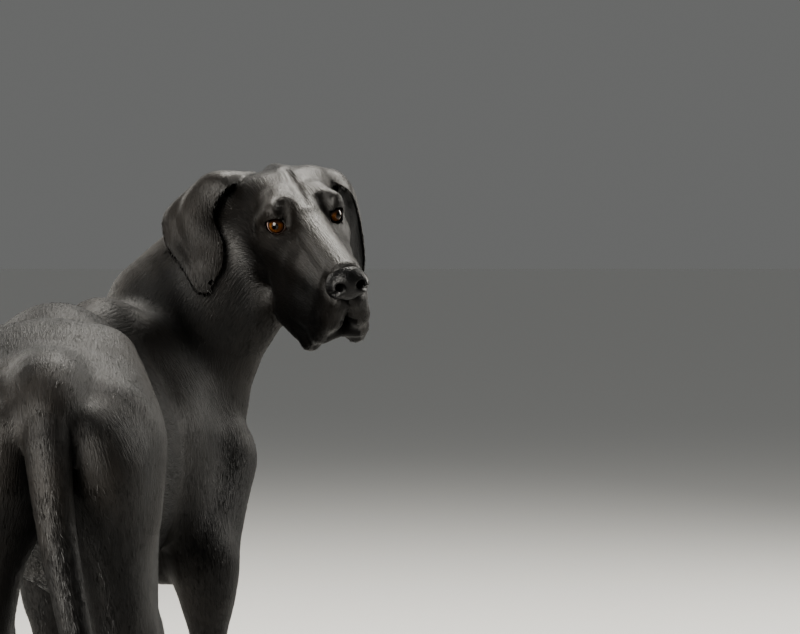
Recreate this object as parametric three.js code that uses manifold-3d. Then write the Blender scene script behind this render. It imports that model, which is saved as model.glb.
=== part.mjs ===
// A standing great dane, life size, looking back over its right shoulder.
// Millimetres, +Z up, +X forward along the rump, +Y to the dog's left, paws on z = 0.
import * as THREE from "three";
import { mergeVertices } from "three/addons/utils/BufferGeometryUtils.js";
import Module from "manifold-3d";

const wasm = await Module();
wasm.setup();

// Driving dimensions.
const gap = 0.3; // between one named piece and the next
const spine = { bendStart: -60, bendEnd: 300, turn: THREE.MathUtils.degToRad(32) };
const girdle = { station: 250 }; // place on the spine whose frame carries shoulders and forelegs
const skull = {
  occiput: [337, -284, 934],
  yaw: -165.8, // degrees from +X, so the face looks back past the rump
  pitch: 20.4, // nose down
  roll: 10.5, // right side low
};
const eye = { radius: 14.5, pupil: [146, 43, 27], gaze: [0.86, 0.45, 0.14], lid: 3 };
const palpebral = { width: 27, height: 19, tilt: -12 }; // opening between the lids
const nose = { front: 327, width: 57, height: 49 };
const ear = { thickness: 7, columns: 10, rows: 14, clear: 2.5 };
const tail = { tip: 215, sides: 12, rings: 18, root: 34, end: 7, flare: 10 };
const paw = { fore: [108, 84, 62], hind: [98, 74, 54], claw: 17 };

// Mesh steps: the length of a facet edge on each region.
const step = {
  torso: 35,
  neck: 24,
  head: 14.2,
  jaw: 12,
  nose: 6.4,
  forearm: 20,
  thigh: 28,
  shin: 19,
  paw: 13,
};

const { abs, atan2, ceil, cos, hypot, max, min, sin, sqrt } = Math;
const clamp = (v, low, high) => max(low, min(high, v));
const mix = (a, b, t) => a + (b - a) * t;

// Smooth union and smooth cut of two distances, over a blend of k millimetres.
function join(a, b, k) {
  const h = max(k - abs(a - b), 0);
  return min(a, b) - (h * h) / (4 * k);
}
function carve(a, b, k) {
  return -join(-a, b, k);
}

// A muscle is a round bar from a to b whose radius changes evenly, pressed to `flat` of its width in y.
// Rows are [ax, ay, az, ra, bx, by, bz, rb, flat, blend].
function muscle(row, x, y, z) {
  const [ax, ay, az, ra, bx, by, bz, rb, flat] = row;
  const ux = bx - ax;
  const uy = (by - ay) / flat;
  const uz = bz - az;
  const px = x - ax;
  const py = (y - ay) / flat;
  const pz = z - az;
  const t = clamp((px * ux + py * uy + pz * uz) / (ux * ux + uy * uy + uz * uz), 0, 1);
  const dx = px - ux * t;
  const dy = py - uy * t;
  const dz = pz - uz * t;
  const length = sqrt(dx * dx + dy * dy + dz * dz) + 1e-6;
  const slope = hypot(dx, dy / flat, dz) / length;
  return (length - mix(ra, rb, t)) / slope;
}

// An egg is an ellipsoid: [x, y, z, rx, ry, rz, blend].
function egg(row, x, y, z) {
  const [cx, cy, cz, rx, ry, rz] = row;
  const qx = (x - cx) / rx;
  const qy = (y - cy) / ry;
  const qz = (z - cz) / rz;
  const k = hypot(qx, qy, qz) + 1e-6;
  return ((k - 1) * k) / (hypot(qx / rx, qy / ry, qz / rz) + 1e-6);
}

function flesh(rows, x, y, z, start = 1e3) {
  let d = start;
  for (const row of rows) {
    const piece = row.length > 7 ? muscle(row, x, y, z) : egg(row, x, y, z);
    d = join(d, piece, row[row.length - 1]);
  }
  return d;
}

// The spine runs straight from the rump, bends to the right round one arc, and runs straight on.
const spineRadius = (spine.bendEnd - spine.bendStart) / spine.turn;
function unbend(x, y) {
  const dx = x - spine.bendStart;
  const dy = y + spineRadius;
  const angle = atan2(dx, dy);
  if (angle <= 0) return [x, y];
  if (angle < spine.turn) return [spine.bendStart + spineRadius * angle, hypot(dx, dy) - spineRadius];
  const along = dx * cos(spine.turn) - dy * sin(spine.turn);
  const across = dx * sin(spine.turn) + dy * cos(spine.turn);
  return [spine.bendEnd + along, across - spineRadius];
}

// Frames: the girdle's, tangent to the bent spine, and the head's, with x to the nose and z to the crown.
const girdleAngle = (girdle.station - spine.bendStart) / spineRadius;
const girdleFrame = new THREE.Matrix4()
  .makeTranslation(
    spine.bendStart + spineRadius * sin(girdleAngle),
    -spineRadius * (1 - cos(girdleAngle)),
    0,
  )
  .multiply(new THREE.Matrix4().makeRotationZ(-girdleAngle))
  .multiply(new THREE.Matrix4().makeTranslation(-girdle.station, 0, 0));
const degrees = THREE.MathUtils.degToRad;
const headFrame = new THREE.Matrix4()
  .makeRotationFromEuler(
    new THREE.Euler(degrees(skull.roll), degrees(skull.pitch), degrees(skull.yaw), "ZYX"),
  )
  .setPosition(...skull.occiput);
const worldFrame = new THREE.Matrix4();

function into(frame) {
  const e = frame.clone().invert().elements;
  return (x, y, z) => [
    e[0] * x + e[4] * y + e[8] * z + e[12],
    e[1] * x + e[5] * y + e[9] * z + e[13],
    e[2] * x + e[6] * y + e[10] * z + e[14],
  ];
}
const toGirdle = into(girdleFrame);
const toHead = into(headFrame);

// Ribs, loin and belly, along the bent spine.
const barrel = [
  [318, 0, 588, 88, 175, 0, 590, 164, 0.6, 40],
  [120, 0, 603, 160, -40, 0, 634, 150, 0.73, 40],
  [-40, 0, 640, 142, -190, 0, 644, 94, 0.76, 60],
  [-40, 0, 702, 82, -240, 0, 706, 78, 1, 50],
  [215, 0, 764, 26, -60, 0, 760, 26, 1, 60],
  [258, 0, 760, 34, 195, 0, 766, 34, 0.7, 60],
  [-60, 0, 604, 92, -200, 0, 612, 60, 0.85, 40],
];
const forechest = [
  [384, 0, 562, 40, 300, 0, 520, 80, 0.8, 50],
  [380, 36, 556, 38, 290, 48, 468, 38, 1, 30],
];

// Croup, seat and thighs; the left side, mirrored by |y|.
const rump = [
  [-215, 0, 744, 46, -352, 0, 716, 40, 1, 50],
  [-245, 42, 728, 54, -345, 50, 686, 58, 1, 40],
  [-225, 64, 756, 20, -250, 58, 734, 34, 1, 40],
  [-300, 52, 652, 62, -330, 58, 600, 54, 1, 50],
  [-408, 34, 690, 24, -388, 50, 648, 44, 1, 36],
];
const hindLegRows = {
  thigh: [
    [-262, 66, 650, 82, -222, 80, 465, 50, 0.64, 40],
    [-320, 60, 650, 78, -275, 80, 450, 54, 0.6, 40],
    [-388, 56, 655, 48, -318, 78, 440, 42, 0.72, 26],
    [-206, 82, 446, 29, -214, 82, 425, 28, 0.95, 30],
  ],
  shin: [
    [-232, 84, 425, 45, -425, 86, 245, 23, 0.8, 30],
    [-300, 84, 440, 42, -425, 86, 300, 17, 0.7, 24],
    [-400, 86, 320, 13, -476, 86, 262, 12, 1, 20],
  ],
  hock: [
    [-474, 86, 256, 16, -446, 86, 224, 25, 0.85, 16],
    [-446, 86, 224, 26, -440, 86, 200, 24, 0.8, 16],
    [-452, 86, 210, 22, -434, 86, 70, 20, 0.82, 16],
  ],
};

// Shoulder and foreleg of the left side, in the girdle's frame.
const foreLegRows = {
  shoulder: [
    [240, 50, 750, 28, 368, 82, 600, 48, 0.62, 50],
    [268, 50, 728, 34, 380, 70, 615, 42, 0.7, 40],
    [366, 94, 588, 50, 262, 98, 470, 43, 0.8, 36],
    [262, 76, 612, 68, 235, 90, 480, 36, 0.6, 36],
  ],
  forearm: [
    [250, 93, 462, 38, 250, 93, 420, 37, 0.74, 36],
    [250, 93, 440, 37, 258, 91, 300, 27, 0.76, 26],
    [212, 93, 452, 15, 240, 93, 420, 22, 1, 18],
    [258, 91, 300, 28, 262, 90, 196, 24, 0.82, 20],
    [264, 90, 196, 26, 264, 90, 184, 25, 0.95, 14],
  ],
  pastern: [[263, 90, 180, 23, 286, 90, 66, 22, 0.95, 14]],
};

// A leg row stands on its side and leans as it goes down, to where its paw is placed.
function stand(rows, side, top, reach, forward, outward) {
  const lean = (z) => clamp((top - z) / reach, 0, 1);
  return rows.map(([ax, ay, az, ra, bx, by, bz, rb, flat, blend]) => [
    ax + forward * lean(az),
    side * (ay + outward * lean(az)),
    az,
    ra,
    bx + forward * lean(bz),
    side * (by + outward * lean(bz)),
    bz,
    rb,
    flat,
    blend,
  ]);
}
const sides = { left: 1, right: -1 };
const stance = {
  foreleg: { left: [-22, 0], right: [26, 22] },
  hindleg: { left: [26, 2], right: [0, 0] },
};
const foreLegs = {};
const hindLegs = {};
for (const [name, side] of Object.entries(sides)) {
  const placeFore = (rows) => stand(rows, side, 600, 170, ...stance.foreleg[name]);
  const placeHind = (rows) => stand(rows, side, 480, 260, ...stance.hindleg[name]);
  foreLegs[name] = {
    rows: placeFore([...foreLegRows.shoulder, ...foreLegRows.forearm, ...foreLegRows.pastern]),
    paw: [
      286 + stance.foreleg[name][0],
      side * (90 + stance.foreleg[name][1]),
    ],
  };
  hindLegs[name] = {
    rows: [
      ...hindLegRows.thigh.map((row) => row.map((v, i) => (i === 1 || i === 5 ? side * v : v))),
      ...placeHind([...hindLegRows.shin, ...hindLegRows.hock]),
    ],
    paw: [
      -432 + stance.hindleg[name][0],
      side * (86 + stance.hindleg[name][1]),
    ],
  };
}

// The neck: stations from the withers and breastbone up to the nape and the angle of the jaw.
// Each is crest point, throat point and half width.
const neckStations = [
  [[252, -74, 768], [362, -150, 628], 82],
  [[302, -94, 832], [362, -212, 640], 74],
  [[328, -132, 862], [338, -221, 700], 66],
  [[338, -182, 904], [308, -229, 753], 62],
  [[335, -242, 940], [292, -252, 806], 56],
];
const neckCrest = 22;
const neckThroat = 26;
const towards = (a, b, distance) => {
  const v = b.map((value, i) => value - a[i]);
  const length = hypot(...v);
  return a.map((value, i) => value + (v[i] * distance) / length);
};
const neckRows = [];
for (let i = 0; i + 1 < neckStations.length; i += 1) {
  const [crestA, throatA, wideA] = neckStations[i];
  const [crestB, throatB, wideB] = neckStations[i + 1];
  const bar = (a, ra, b, rb, blend) => neckRows.push([...a, ra, ...b, rb, 1, blend]);
  bar(towards(crestA, throatA, neckCrest), neckCrest, towards(crestB, throatB, neckCrest), neckCrest, 40);
  bar(towards(crestA, throatA, wideA), wideA * 0.86, towards(crestB, throatB, wideB), wideB * 0.86, 50);
  bar(towards(throatA, crestA, wideA), wideA * 0.8, towards(throatB, crestB, wideB), wideB * 0.8, 50);
  bar(towards(throatA, crestA, neckThroat), neckThroat, towards(throatB, crestB, neckThroat), neckThroat, 40);
}
neckRows.push([285, -272, 792, 26, 342, -228, 734, 20, 1, 40]); // the throat's loose skin

// The head in its own frame, left side mirrored by |y|.
const headRows = [
  [62, 0, 6, 76, 66, 57, 20],
  [116, 0, 12, 50, 52, 45, 26],
  [6, 0, 40, 18, 64, 0, 46, 20, 1, 20],
  [60, 22, 43, 19, 128, 25, 34, 17, 1, 12],
  [44, 42, 22, 40, 28, 36, 26],
  [104, 28, 43, 15, 130, 41, 42, 10, 1, 18],
  [130, 41, 42, 10, 114, 53, 24, 9, 1, 14],
  [60, 58, -14, 12, 126, 48, -6, 12, 1, 24],
  [66, 44, -40, 27, 112, 42, -38, 20, 1, 22],
  [150, 0, 27, 18, 300, 0, 18, 15, 1.4, 20],
  [146, 23, -12, 23, 280, 15, -10, 19, 1, 26],
  [128, 34, -8, 18, 178, 25, -14, 19, 1, 22],
  [-6, 50, 16, 18, 6, 70, 6, 16, 1, 16],
];
const browHollow = [140, 27, 54, 6, 156, 29, 32, 3, 1, 12]; // over the eye's inner corner
const flewRows = [
  [150, 32, -56, 22, 262, 18, -46, 18, 1, 30],
  [165, 35, -78, 17, 252, 26, -70, 14, 1, 26],
  [272, 17, -40, 26, 15, 27, 16],
  [297, 9, -25, 15, 289, 17, -50, 11, 1, 16],
  [289, 17, -50, 11, 263, 26, -81, 9, 1, 14],
  [263, 26, -81, 9, 231, 31, -103, 10, 1, 14],
  [231, 31, -103, 10, 158, 40, -92, 15, 1, 16],
];
const jawRows = [
  [90, 32, -90, 19, 200, 22, -92, 15, 1, 18],
  [200, 22, -92, 15, 256, 8, -79, 10, 1, 14],
  [110, 0, -88, 24, 236, 0, -84, 13, 1, 20],
  [258, 0, -77, 15, 12, 11, 10],
];
const jawHinge = 152; // the mouth is open forward of this plane
const jawLap = 10; // the jaw's root ends this far behind the hinge plane
const blend = { jaw: 20, neck: 30 }; // the head's joins to its jaw and to the neck
const mouthGap = 2.2; // between the lips and the lower jaw

function headField(x, y, z) {
  const side = abs(y);
  const hollow = muscle(browHollow, x, side, z);
  const d = carve(flesh(headRows, x, side, z), hollow, browHollow[9]);
  return flesh(flewRows, x, side, z, d);
}
const jawField = (x, y, z) => flesh(jawRows, x, abs(y), z);
const jawRoot = (x, y, z) => max(jawField(x, y, z), x - jawHinge + jawLap);
function noseField(x, y, z) {
  const side = abs(y);
  const { front, width, height } = nose;
  let d = flesh(
    [
      [front - 23, 0, 7, 22, width * 0.4, height * 0.42, 6],
      [front - 19, width * 0.27, 1, 16, width * 0.21, height * 0.29, 7],
      [front - 21, 0, -6, 15, width * 0.22, height * 0.25, 7],
    ],
    x,
    side,
    z,
  );
  d = carve(d, muscle([front + 4, 11, 4, 6.2, front - 14, 15, 6, 4.4, 1, 1], x, side, z), 4);
  d = carve(d, muscle([front, 13, 1, 3, front - 14, 28, -5, 3, 1, 1], x, side, z), 3);
  return d;
}

function trunkField(x, y, z) {
  const [bx, by] = unbend(x, y);
  const side = abs(by);
  let d = flesh(barrel, bx, by, z);
  d = flesh(forechest, bx, side, z, d);
  d = flesh(rump, x, abs(y), z, d);
  const [gx, gy, gz] = toGirdle(x, y, z);
  for (const name in sides) {
    d = flesh(hindLegs[name].rows, x, y, z, d);
    d = flesh(foreLegs[name].rows, gx, gy, gz, d);
  }
  return d;
}
function bodyField(x, y, z) {
  let d = trunkField(x, y, z);
  if (x > 120) {
    d = flesh(neckRows, x, y, z, d);
    const [hx, hy, hz] = toHead(x, y, z);
    const face = join(headField(hx, hy, hz), jawRoot(hx, hy, hz), blend.jaw);
    d = join(d, face, blend.neck);
  }
  return d;
}

// The closed surface where a field is zero, by surface nets, with each corner moved onto the field.
const corners = [0, 1, 2, 3, 4, 5, 6, 7].map((i) => [i & 1, (i >> 1) & 1, (i >> 2) & 1]);
const edges = [];
for (let a = 0; a < 8; a += 1) {
  for (const bit of [1, 2, 4]) if (!(a & bit)) edges.push([a, a | bit]);
}
function surface(field, low, high, size, grow = 0) {
  const count = low.map((v, i) => ceil((high[i] - v) / size) + 1);
  const [nx, ny, nz] = count;
  const index = (i, j, k) => (k * ny + j) * nx + i;
  const value = new Float64Array(nx * ny * nz);
  for (let k = 0; k < nz; k += 1) {
    for (let j = 0; j < ny; j += 1) {
      for (let i = 0; i < nx; i += 1) {
        const d = field(low[0] + i * size, low[1] + j * size, low[2] + k * size) - grow;
        const rim = [i, j, k].some((v, n) => v === 0 || v === count[n] - 1);
        value[index(i, j, k)] = rim ? max(d, size / 2) : d;
      }
    }
  }
  const cell = new Int32Array(nx * ny * nz).fill(-1);
  const points = [];
  for (let k = 0; k + 1 < nz; k += 1) {
    for (let j = 0; j + 1 < ny; j += 1) {
      for (let i = 0; i + 1 < nx; i += 1) {
        const v = corners.map(([a, b, c]) => value[index(i + a, j + b, k + c)]);
        const sum = [0, 0, 0];
        let crossings = 0;
        for (const [a, b] of edges) {
          if (v[a] < 0 === v[b] < 0) continue;
          const t = v[a] / (v[a] - v[b]);
          for (let n = 0; n < 3; n += 1) sum[n] += mix(corners[a][n], corners[b][n], t);
          crossings += 1;
        }
        if (!crossings) continue;
        cell[index(i, j, k)] = points.length / 3;
        const p = [i, j, k].map((q, n) => low[n] + (q + sum[n] / crossings) * size);
        const inside = [i, j, k].every((q, n) => q > 0 && q < count[n] - 2);
        if (inside) settle(field, p, grow, size * 0.45);
        points.push(...p);
      }
    }
  }
  const faces = [];
  const quad = (a, b, c, d, flip) => {
    const span = (m, n) => hypot(...[0, 1, 2].map((i) => points[3 * m + i] - points[3 * n + i]));
    const ring = flip ? [a, d, c, b] : [a, b, c, d];
    const [p, q, r, s] = ring;
    if (span(p, r) < span(q, s)) faces.push(p, q, r, p, r, s);
    else faces.push(q, r, s, q, s, p);
  };
  for (let k = 0; k + 1 < nz; k += 1) {
    for (let j = 0; j + 1 < ny; j += 1) {
      for (let i = 0; i + 1 < nx; i += 1) {
        const here = value[index(i, j, k)] < 0;
        const at = (a, b, c) => cell[index(i - a, j - b, k - c)];
        if (j && k && here !== value[index(i + 1, j, k)] < 0) {
          quad(at(0, 1, 1), at(0, 0, 1), at(0, 0, 0), at(0, 1, 0), !here);
        }
        if (i && k && here !== value[index(i, j + 1, k)] < 0) {
          quad(at(1, 0, 1), at(1, 0, 0), at(0, 0, 0), at(0, 0, 1), !here);
        }
        if (i && j && here !== value[index(i, j, k + 1)] < 0) {
          quad(at(1, 1, 0), at(0, 1, 0), at(0, 0, 0), at(1, 0, 0), !here);
        }
      }
    }
  }
  return [points, faces];
}
function settle(field, p, grow, most) {
  const start = [...p];
  for (let pass = 0; pass < 3; pass += 1) {
    const d = field(...p) - grow;
    const slope = [0, 1, 2].map((n) => {
      const q = [...p];
      q[n] += 0.5;
      return (field(...q) - grow - d) / 0.5;
    });
    const square = slope[0] ** 2 + slope[1] ** 2 + slope[2] ** 2 + 1e-6;
    for (let n = 0; n < 3; n += 1) p[n] -= (d * slope[n]) / square;
  }
  for (let n = 0; n < 3; n += 1) p[n] = clamp(p[n], start[n] - most, start[n] + most);
}

// The box that each field is meshed in; the last three are in the head's frame.
const room = {
  torso: [[-500, -330, 395], [470, 190, 850]],
  neck: [[180, -370, 560], [480, 20, 1010]],
  head: [[-40, -150, -160], [352, 110, 92]],
  jaw: [[80, -60, -124], [310, 60, -30]],
  nose: [[nose.front - 50, -42, -34], [nose.front + 14, 42, 40]],
};

// Solids.
function solidOf(points, faces) {
  const mesh = new wasm.Mesh({
    numProp: 3,
    vertProperties: new Float32Array(points),
    triVerts: new Uint32Array(faces),
  });
  return new wasm.Manifold(mesh);
}
function solidOfGeometry(geometry, frame = worldFrame) {
  const plain = geometry.clone().applyMatrix4(frame);
  plain.deleteAttribute("normal");
  plain.deleteAttribute("uv");
  const merged = mergeVertices(plain, 1e-3);
  return solidOf(merged.getAttribute("position").array, merged.index.array);
}
const fieldSolid = (field, low, high, size, grow = 0) =>
  solidOf(...surface(field, low, high, size, grow));
function largest(solid) {
  const pieces = solid.decompose();
  return pieces.reduce((a, b) => (b.volume() > a.volume() ? b : a));
}
const keepAbove = (solid, normal, point) => {
  const length = hypot(...normal);
  const n = normal.map((v) => v / length);
  return solid.trimByPlane(n, n[0] * point[0] + n[1] * point[1] + n[2] * point[2] + gap / 2);
};
const flip = (v) => v.map((value) => -value);
const framed = (solid, frame) => solid.transform([...frame.elements]);

const coat = {
  body: { color: 0x2c2c2e, roughness: 0.55 },
  nose: { color: 0x141415, roughness: 0.35 },
  iris: { color: 0x8a4a1c, roughness: 0.1 },
};

// Where two folds of one surface meet in a corner, each fold's copy is drawn back a little,
// towards the middle of its own neighbours, so that the body stays closed and touches itself nowhere.
function drawApart(positions, triangles) {
  const copies = new Map();
  for (let i = 0; i < positions.length / 3; i += 1) {
    const key = [0, 1, 2].map((n) => positions[3 * i + n].toFixed(2)).join();
    copies.set(key, [...(copies.get(key) ?? []), i]);
  }
  for (const shared of copies.values()) {
    if (shared.length < 2) continue;
    for (const i of shared) {
      const around = new Set();
      for (let f = 0; f < triangles.length; f += 3) {
        const ring = triangles.slice(f, f + 3);
        if (ring.includes(i)) ring.forEach((v) => around.add(v));
      }
      around.delete(i);
      const middle = [0, 1, 2].map((n) => {
        let sum = 0;
        for (const v of around) sum += positions[3 * v + n];
        return sum / around.size;
      });
      const reach = hypot(...middle.map((v, n) => v - positions[3 * i + n]));
      const pull = min(gap / reach, 0.5);
      for (let n = 0; n < 3; n += 1) positions[3 * i + n] = mix(positions[3 * i + n], middle[n], pull);
    }
  }
}

const group = new THREE.Group();
function add(name, solid, finish = coat.body) {
  const mesh = largest(solid).getMesh();
  const geometry = new THREE.BufferGeometry();
  const positions = new Float32Array(mesh.numVert * 3);
  for (let i = 0; i < mesh.numVert; i += 1) {
    for (let n = 0; n < 3; n += 1) {
      positions[3 * i + n] = mesh.vertProperties[mesh.numProp * i + n];
    }
  }
  drawApart(positions, mesh.triVerts);
  geometry.setAttribute("position", new THREE.BufferAttribute(positions, 3));
  geometry.setIndex([...mesh.triVerts]);
  geometry.computeVertexNormals();
  const node = new THREE.Mesh(
    geometry,
    new THREE.MeshStandardMaterial({ ...finish, metalness: 0 }),
  );
  node.name = name;
  group.add(node);
}

// Cut planes: [normal, point], the normal towards the piece named first.
const cuts = {
  loin: [[1, 0, 0], [-70, 0, 650]], // front of torso from rear
  neckBase: [[0.34, -0.52, 0.78], [322, -150, 742]],
  neckMiddle: [[0.16, -0.56, 0.81], [344, -190, 812]],
  headBack: [[0.75, 0.05, 0.66], [-15, 0, 45]], // in the head's frame
  knee: [[-0.42, 0, -1], [-262, 0, 410]], // shin from thigh
};
const level = { wrist: 205, forePaw: 72, hock: 268, hindPaw: 66, aboveLegs: 700 }; // of the legs' parts
const pawBack = 6; // each paw's own middle lies this far behind its place
const headNormal = new THREE.Vector3(...cuts.headBack[0]).transformDirection(headFrame).toArray();
const headPoint = new THREE.Vector3(...cuts.headBack[1]).applyMatrix4(headFrame).toArray();

// A leg's share of the body: the outer, lower side of a sloped plane, on its own side of the middle.
function legShare(low, high, slopes, grow) {
  const size = low.map((v, i) => high[i] - v + 2 * grow);
  const centre = low.map((v, i) => (v + high[i]) / 2);
  const box = new THREE.BoxGeometry(...size).translate(...centre);
  return slopes.reduce(
    (solid, [normal, point]) => {
      const length = hypot(...normal);
      const n = normal.map((v) => v / length);
      return solid.trimByPlane(n, n[0] * point[0] + n[1] * point[1] + n[2] * point[2] - grow);
    },
    solidOfGeometry(box),
  );
}
function foreShare(side, grow) {
  const low = [120, side > 0 ? 12 : -260, 20];
  const high = [430, side > 0 ? 260 : -12, 600];
  return legShare(low, high, [[[0, side, -1], [260, side * 46, 414]]], grow);
}
function hindShare(side, grow) {
  const low = [-600, side > 0 ? 0.2 : -260, 20];
  const high = [-110, side > 0 ? 260 : -0.2, 760];
  const slopes = [
    [[0, side * 0.85, -0.7], [-250, side * 16, 556]],
    [[-1, 0, 0.12], [-148, 0, 600]],
  ];
  return legShare(low, high, slopes, grow);
}

// Torso, in two lengths.
{
  const whole = fieldSolid(bodyField, ...room.torso, step.torso);
  let torso = keepAbove(whole, flip(cuts.neckBase[0]), cuts.neckBase[1]);
  for (const side of Object.values(sides)) {
    torso = torso.subtract(framed(foreShare(side, gap), girdleFrame));
    torso = torso.subtract(hindShare(side, gap));
  }
  add("torso_front", keepAbove(torso, ...cuts.loin));
  add("torso_rear", keepAbove(torso, flip(cuts.loin[0]), cuts.loin[1]));
}

// Neck, in two lengths.
const neckAt = (grow) => fieldSolid(bodyField, ...room.neck, step.neck, grow);
{
  let neck = keepAbove(neckAt(0), ...cuts.neckBase);
  neck = keepAbove(neck, flip(headNormal), headPoint);
  add("neck_lower", keepAbove(neck, flip(cuts.neckMiddle[0]), cuts.neckMiddle[1]));
  add("neck_upper", keepAbove(neck, ...cuts.neckMiddle));
}

// Head: skull and upper jaw, lower jaw, nose, eyes with their lids, and ears.
const headVector = new THREE.Vector3();
function inHeadField(x, y, z) {
  headVector.set(x, y, z).applyMatrix4(headFrame);
  const face = join(headField(x, y, z), jawRoot(x, y, z), blend.jaw);
  return join(flesh(neckRows, headVector.x, headVector.y, headVector.z), face, blend.neck);
}
const eyePlace = (side) => {
  const gaze = new THREE.Vector3(eye.gaze[0], side * eye.gaze[1], eye.gaze[2]).normalize();
  const pupil = new THREE.Vector3(eye.pupil[0], side * eye.pupil[1], eye.pupil[2]);
  return { gaze, centre: pupil.clone().addScaledVector(gaze, -eye.radius) };
};
function lidOpening(side) {
  const { gaze, centre } = eyePlace(side);
  const half = palpebral.width / 2;
  const rise = palpebral.height / 2;
  const almond = new THREE.Shape();
  almond.moveTo(-half, 0);
  almond.quadraticCurveTo(-half * 0.55, rise, 0, rise);
  almond.quadraticCurveTo(half * 0.55, rise, half, 0);
  almond.quadraticCurveTo(half * 0.5, -rise, 0, -rise);
  almond.quadraticCurveTo(-half * 0.5, -rise, -half, 0);
  const prism = new THREE.ExtrudeGeometry(almond, {
    depth: 3 * eye.radius,
    bevelEnabled: false,
    curveSegments: 4,
  });
  prism.rotateZ(degrees(side * -palpebral.tilt));
  const look = new THREE.Matrix4().lookAt(gaze, new THREE.Vector3(), new THREE.Vector3(0, 0, 1));
  return solidOfGeometry(prism, look.setPosition(centre));
}
{
  const jawWhole = (grow) => fieldSolid(jawField, ...room.jaw, step.jaw, grow);
  let head = fieldSolid(inHeadField, ...room.head, step.head);
  head = keepAbove(head, ...cuts.headBack);
  const mouth = jawWhole(mouthGap).trimByPlane([1, 0, 0], jawHinge - gap);
  head = head.subtract(mouth);
  const noseAt = (grow) => fieldSolid(noseField, ...room.nose, step.nose, grow);
  const noseRoot = new THREE.BoxGeometry(60, 90, 90).translate(nose.front - 54, 0, 0);
  head = head.subtract(noseAt(gap));
  add("nose", noseAt(0).subtract(solidOfGeometry(noseRoot)), coat.nose);
  for (const [name, side] of Object.entries(sides)) {
    const { centre } = eyePlace(side);
    const ball = (grow) =>
      solidOfGeometry(
        new THREE.SphereGeometry(eye.radius + grow, 16, 10).translate(centre.x, centre.y, centre.z),
      );
    head = head.add(ball(eye.lid)).subtract(lidOpening(side)).subtract(ball(gap));
    add(`eye_${name}`, framed(ball(0), headFrame), coat.iris);
  }
  add("head", framed(head, headFrame));
  const jaw = jawWhole(0).trimByPlane([1, 0, 0], jawHinge);
  add("lower_jaw", framed(jaw, headFrame));
}
group.children.find((node) => node.name === "nose").geometry.applyMatrix4(headFrame);

// Ears: a thin leather between its front edge and its rear edge, bowed between them into the cup of
// the ear, with a shallow valley down the leather's rear half; thinner at its rim.
const earEdges = {
  right: {
    front: [
      [30, -50, 48],
      [44, -74, 53],
      [43, -94, 34],
      [53, -102, 15],
      [82, -100, -8],
      [99, -106, -32],
      [106, -122, -53],
    ],
    rear: [
      [-12, -52, 18],
      [-16, -92, 28],
      [-10, -130, 22],
      [4, -156, 10],
      [29, -162, -16],
      [74, -155, -34],
      [103, -146, -60],
    ],
    bow: [
      [-4, 18, 14],
      [-2, -4, 20],
      [0, -8, 15],
      [6, -8, 9],
      [6, -6, 4],
      [4, -4, 2],
      [2, 0, -9],
    ],
  },
  left: {
    front: [
      [34, 50, 42],
      [71, 62, 43],
      [99, 75, 36],
      [106, 81, 10],
      [115, 82, -17],
      [129, 79, -47],
      [131, 73, -82],
    ],
    rear: [
      [-12, 52, 18],
      [-14, 66, 24],
      [-8, 80, 18],
      [0, 88, 0],
      [14, 87, -30],
      [46, 82, -66],
      [100, 74, -90],
    ],
    bow: [
      [-4, -18, 10],
      [4, 8, 10],
      [4, 8, 6],
      [0, 8, 2],
      [0, 6, 0],
      [0, 4, 0],
      [0, 0, -4],
    ],
  },
};
const curveThrough = (points) =>
  new THREE.CatmullRomCurve3(points.map((p) => new THREE.Vector3(...p)), false, "catmullrom", 0.5);
const valley = { depth: 0.4, at: 0.68, width: 0.14, from: 0.2, reach: 0.25 }; // shares of the leather
function earValley(u, v) {
  const across = Math.exp(-(((u - valley.at) / valley.width) ** 2));
  return valley.depth * across * clamp((v - valley.from) / valley.reach, 0, 1);
}
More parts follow.
